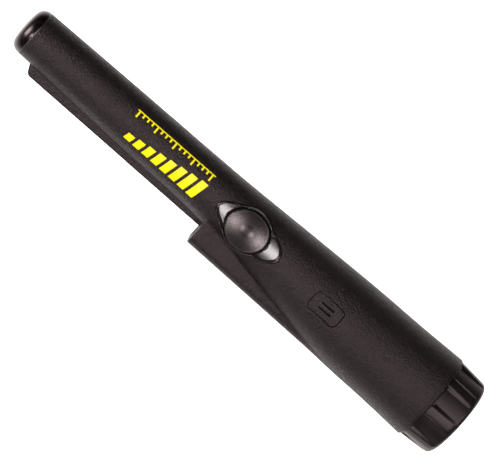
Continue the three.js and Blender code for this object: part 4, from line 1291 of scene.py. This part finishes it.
# ---- The battery ----
# A 9 V block battery: a steel jacket crimped over both ends, with a small round snap and a
# larger petalled one that press against the contacts.
jacket = Finish("battery_jacket", {"IOR": 1.5, "Coat Roughness": 0.12})
x, y, z = jacket.axes()
scuffed = jacket.noise(6.0, 4.0)
band = z.between(55.9, 56.1)
crimp = z.between(22.6, 22.4) + z.between(66.1, 66.3)
tone = jacket.mixed(scuffed.between(0.3, 0.7), (0.018, 0.040, 0.085), (0.026, 0.055, 0.115))
tone = jacket.mixed(band, tone, (0.42, 0.43, 0.44))
bare = jacket.mixed(scuffed, (0.50, 0.50, 0.49), (0.60, 0.59, 0.57))
jacket.set({
    "Base Color": jacket.mixed(crimp, tone, bare),
    "Metallic": 0.35 + crimp * 0.6 + (scuffed - 0.5) * 0.1,
    "Roughness": 0.26 + (scuffed - 0.5) * 0.14 + crimp * 0.06,
    "Coat Weight": 0.5 + (scuffed - 0.5) * 0.3,
    "Normal": jacket.bump(scuffed, 0.03),
})
# The jacket's end, from the middle of the face out and over the crimp: inset and depth.
JACKET_END = [
    (0.9, 0.3), (0.8, 0.0), (0.35, 0.0), (0.1, 0.12), (0.0, 0.4), (0.0, 1.1), (0.16, 1.3), (0.0, 1.5)]
JACKET_CORNER = 2.4
low, high = corners("battery")
battery_rings = []
levels = [(inset, low.z + depth) for inset, depth in JACKET_END]
levels += [(inset, high.z - depth) for inset, depth in JACKET_END[::-1]]
for inset, z in levels:
    outline = rounded(0, 0, high.x - inset, high.y - inset, JACKET_CORNER - min(inset, 1.0) * 0.6)
    battery_rings.append([(a, b, z) for a, b in outline])
worn(lofted("block_battery", battery_rings), jacket, "battery", "battery_sleeve", "battery")

low, high = corners("battery_snap_positive")
(x, _, _), (r, _, _) = extent("battery_snap_positive")
stud = turned("snap_stud", [
    (0, low.z), (r, low.z), (r, low.z + 0.3), (r - 0.35, low.z + 0.55), (r - 0.35, low.z + 0.9),
    (r - 0.1, low.z + 1.3), (r - 0.12, low.z + 1.7), (r - 0.4, high.z), (r - 1.1, high.z),
    (r - 1.3, high.z - 0.5), (0, high.z - 0.5)], x, 0)
worn(stud, nickel, "battery", "nickel", "battery_snap_positive")

low, high = corners("battery_snap_negative")
(x, _, _), (_, r, _) = extent("battery_snap_negative")
turns = np.radians(np.arange(0, 360, 5))
petal = 1 - 0.10 * np.abs(np.sin(3 * turns)) ** 0.5
socket_rings = []
for out, z, lobed in (
        (0.5, low.z, 0), (r - 0.15, low.z, 0), (r - 0.05, low.z + 0.2, 0.3), (r, low.z + 0.6, 1),
        (r, high.z - 0.4, 1), (r - 0.15, high.z, 1), (r - 0.55, high.z, 1), (r - 0.75, high.z - 0.3, 1),
        (r - 0.75, low.z + 0.6, 1), (0.5, low.z + 0.6, 0)):
    out = out * (1 - lobed * (1 - petal))
    level_ring = [x + out * np.cos(turns), out * np.sin(turns), np.full(len(turns), z)]
    socket_rings.append(np.column_stack(level_ring))
worn(lofted("snap_socket", socket_rings), nickel, "battery", "nickel", "battery_snap_negative")


# ---- The battery cap ----
# A black cap that screws into the mouth on a quick thread, with eight grip ribs between
# shallow channels that run up to the seam, and a rounded end that the probe stands on.
CAP_TOP = 14.08
CAP_RADIUS = 18.6
CAP_END = 17.75
CAP_CORNER = 3.1
RIB_TURN = -4.0
RIB_HALF = 5.0
RIB_WALL = 6.0
CHANNEL = 1.25

CAP_TAPER_CUT = 0.12

cap_plastic = Finish("cap_abs", {"IOR": 1.5, "Specular Tint": (1.0, 0.85, 0.87, 1)})
x, y, z = cap_plastic.axes()
rubbed = cap_plastic.noise(9.0, 3.0)
skin_grain = cap_plastic.noise(0.5, 3.0)
around_rim = (x * x + y * y) ** 0.5
scuffs = around_rim.between(17.0, 18.4) * z.between(3.4, 0.6) * rubbed.between(0.45, 0.7)
tone = cap_plastic.mixed(rubbed.between(0.35, 0.65), (0.0040, 0.0024, 0.0023), (0.0056, 0.0036, 0.0034))
tone = cap_plastic.mixed(scuffs * 0.6, tone, (0.020, 0.017, 0.016))
cap_plastic.set({
    "Base Color": tone,
    "Roughness": 0.48 + (rubbed - 0.5) * 0.10 + (skin_grain - 0.5) * 0.08 + scuffs * 0.1,
    "Normal": cap_plastic.bump(skin_grain, 0.06),
})
turn = np.radians(np.arange(0, 360, 0.75))
from_rib = np.abs((np.degrees(turn) - RIB_TURN + 22.5) % 45 - 22.5)
in_channel = np.clip((from_rib - RIB_HALF) / RIB_WALL, 0, 1)
in_channel = in_channel * in_channel * (3 - 2 * in_channel)


def cap_ring(height, inset=0.0):
    """The cap's outside at a height: the taper, the round end and the grip channels."""
    if height < CAP_CORNER:
        out = CAP_END - CAP_CORNER + math.sqrt(max(CAP_CORNER ** 2 - (CAP_CORNER - height) ** 2, 0))
    else:
        out = CAP_END + (CAP_RADIUS - CAP_END) * (height - CAP_CORNER) / (CAP_TOP - CAP_CORNER)
    channel_floor = CAP_RADIUS - CHANNEL - (CAP_RADIUS - CAP_END) * CAP_TAPER_CUT
    cut = np.maximum(out - channel_floor, 0) * in_channel
    reach_out = out - inset - cut
    return np.column_stack([reach_out * np.cos(turn), reach_out * np.sin(turn), np.full(len(turn), height)])


heights = [0.0, 0.02, 0.08, 0.18, 0.34, 0.56, 0.85, 1.2, 1.6, 2.1, 2.6, 3.1, 4.5, 6, 8, 10, 12, 13.9]
rings = [cap_ring(height) for height in heights]
rings += [cap_ring(CAP_TOP - 0.06, 0.06), cap_ring(CAP_TOP, 0.2)]
cap = lofted("cap_body", rings)
combined(cap, "DIFFERENCE", stepped_bar("inner_tool", 0, (16.2, 0.9), (16.2, 15)))
spigot = copied("battery_cap", "spigot_tool")
combined(spigot, "INTERSECT", stepped_bar(
    "keep_tool", 0, (16.3, 0.8), (16.3, 13.5), (18.0, 13.5), (18.0, 25)))
combined(cap, "UNION", spigot)
worn(cap, cap_plastic, "cap", "shell", "battery_cap")


# ---- The cap's O-ring and battery pad ----
# A rubber O-ring sits in the groove under the cap's edge and doesn't turn with it. A round
# foam pad in the cap presses the battery up against its contacts.
low, high = corners("cap_o_ring")
_, (_, _, thick) = extent("cap_o_ring")
major = high.x - thick
seal = [(major + thick * math.cos(a), (low.z + high.z) / 2 + thick * math.sin(a))
        for a in np.linspace(0, 2 * math.pi, 17)]
worn(turned("seal_ring", seal, 0, 0, "Z", 96), rubber, "cap_ring", "rubber", "cap_o_ring")

low, high = corners("battery_pad")
pad = turned("pad_foam", soft_disc(high.x, low.z, high.z, 0.3), 0, 0, "Z", 72)
worn(pad, foam, "cap", "foam", "battery_pad")
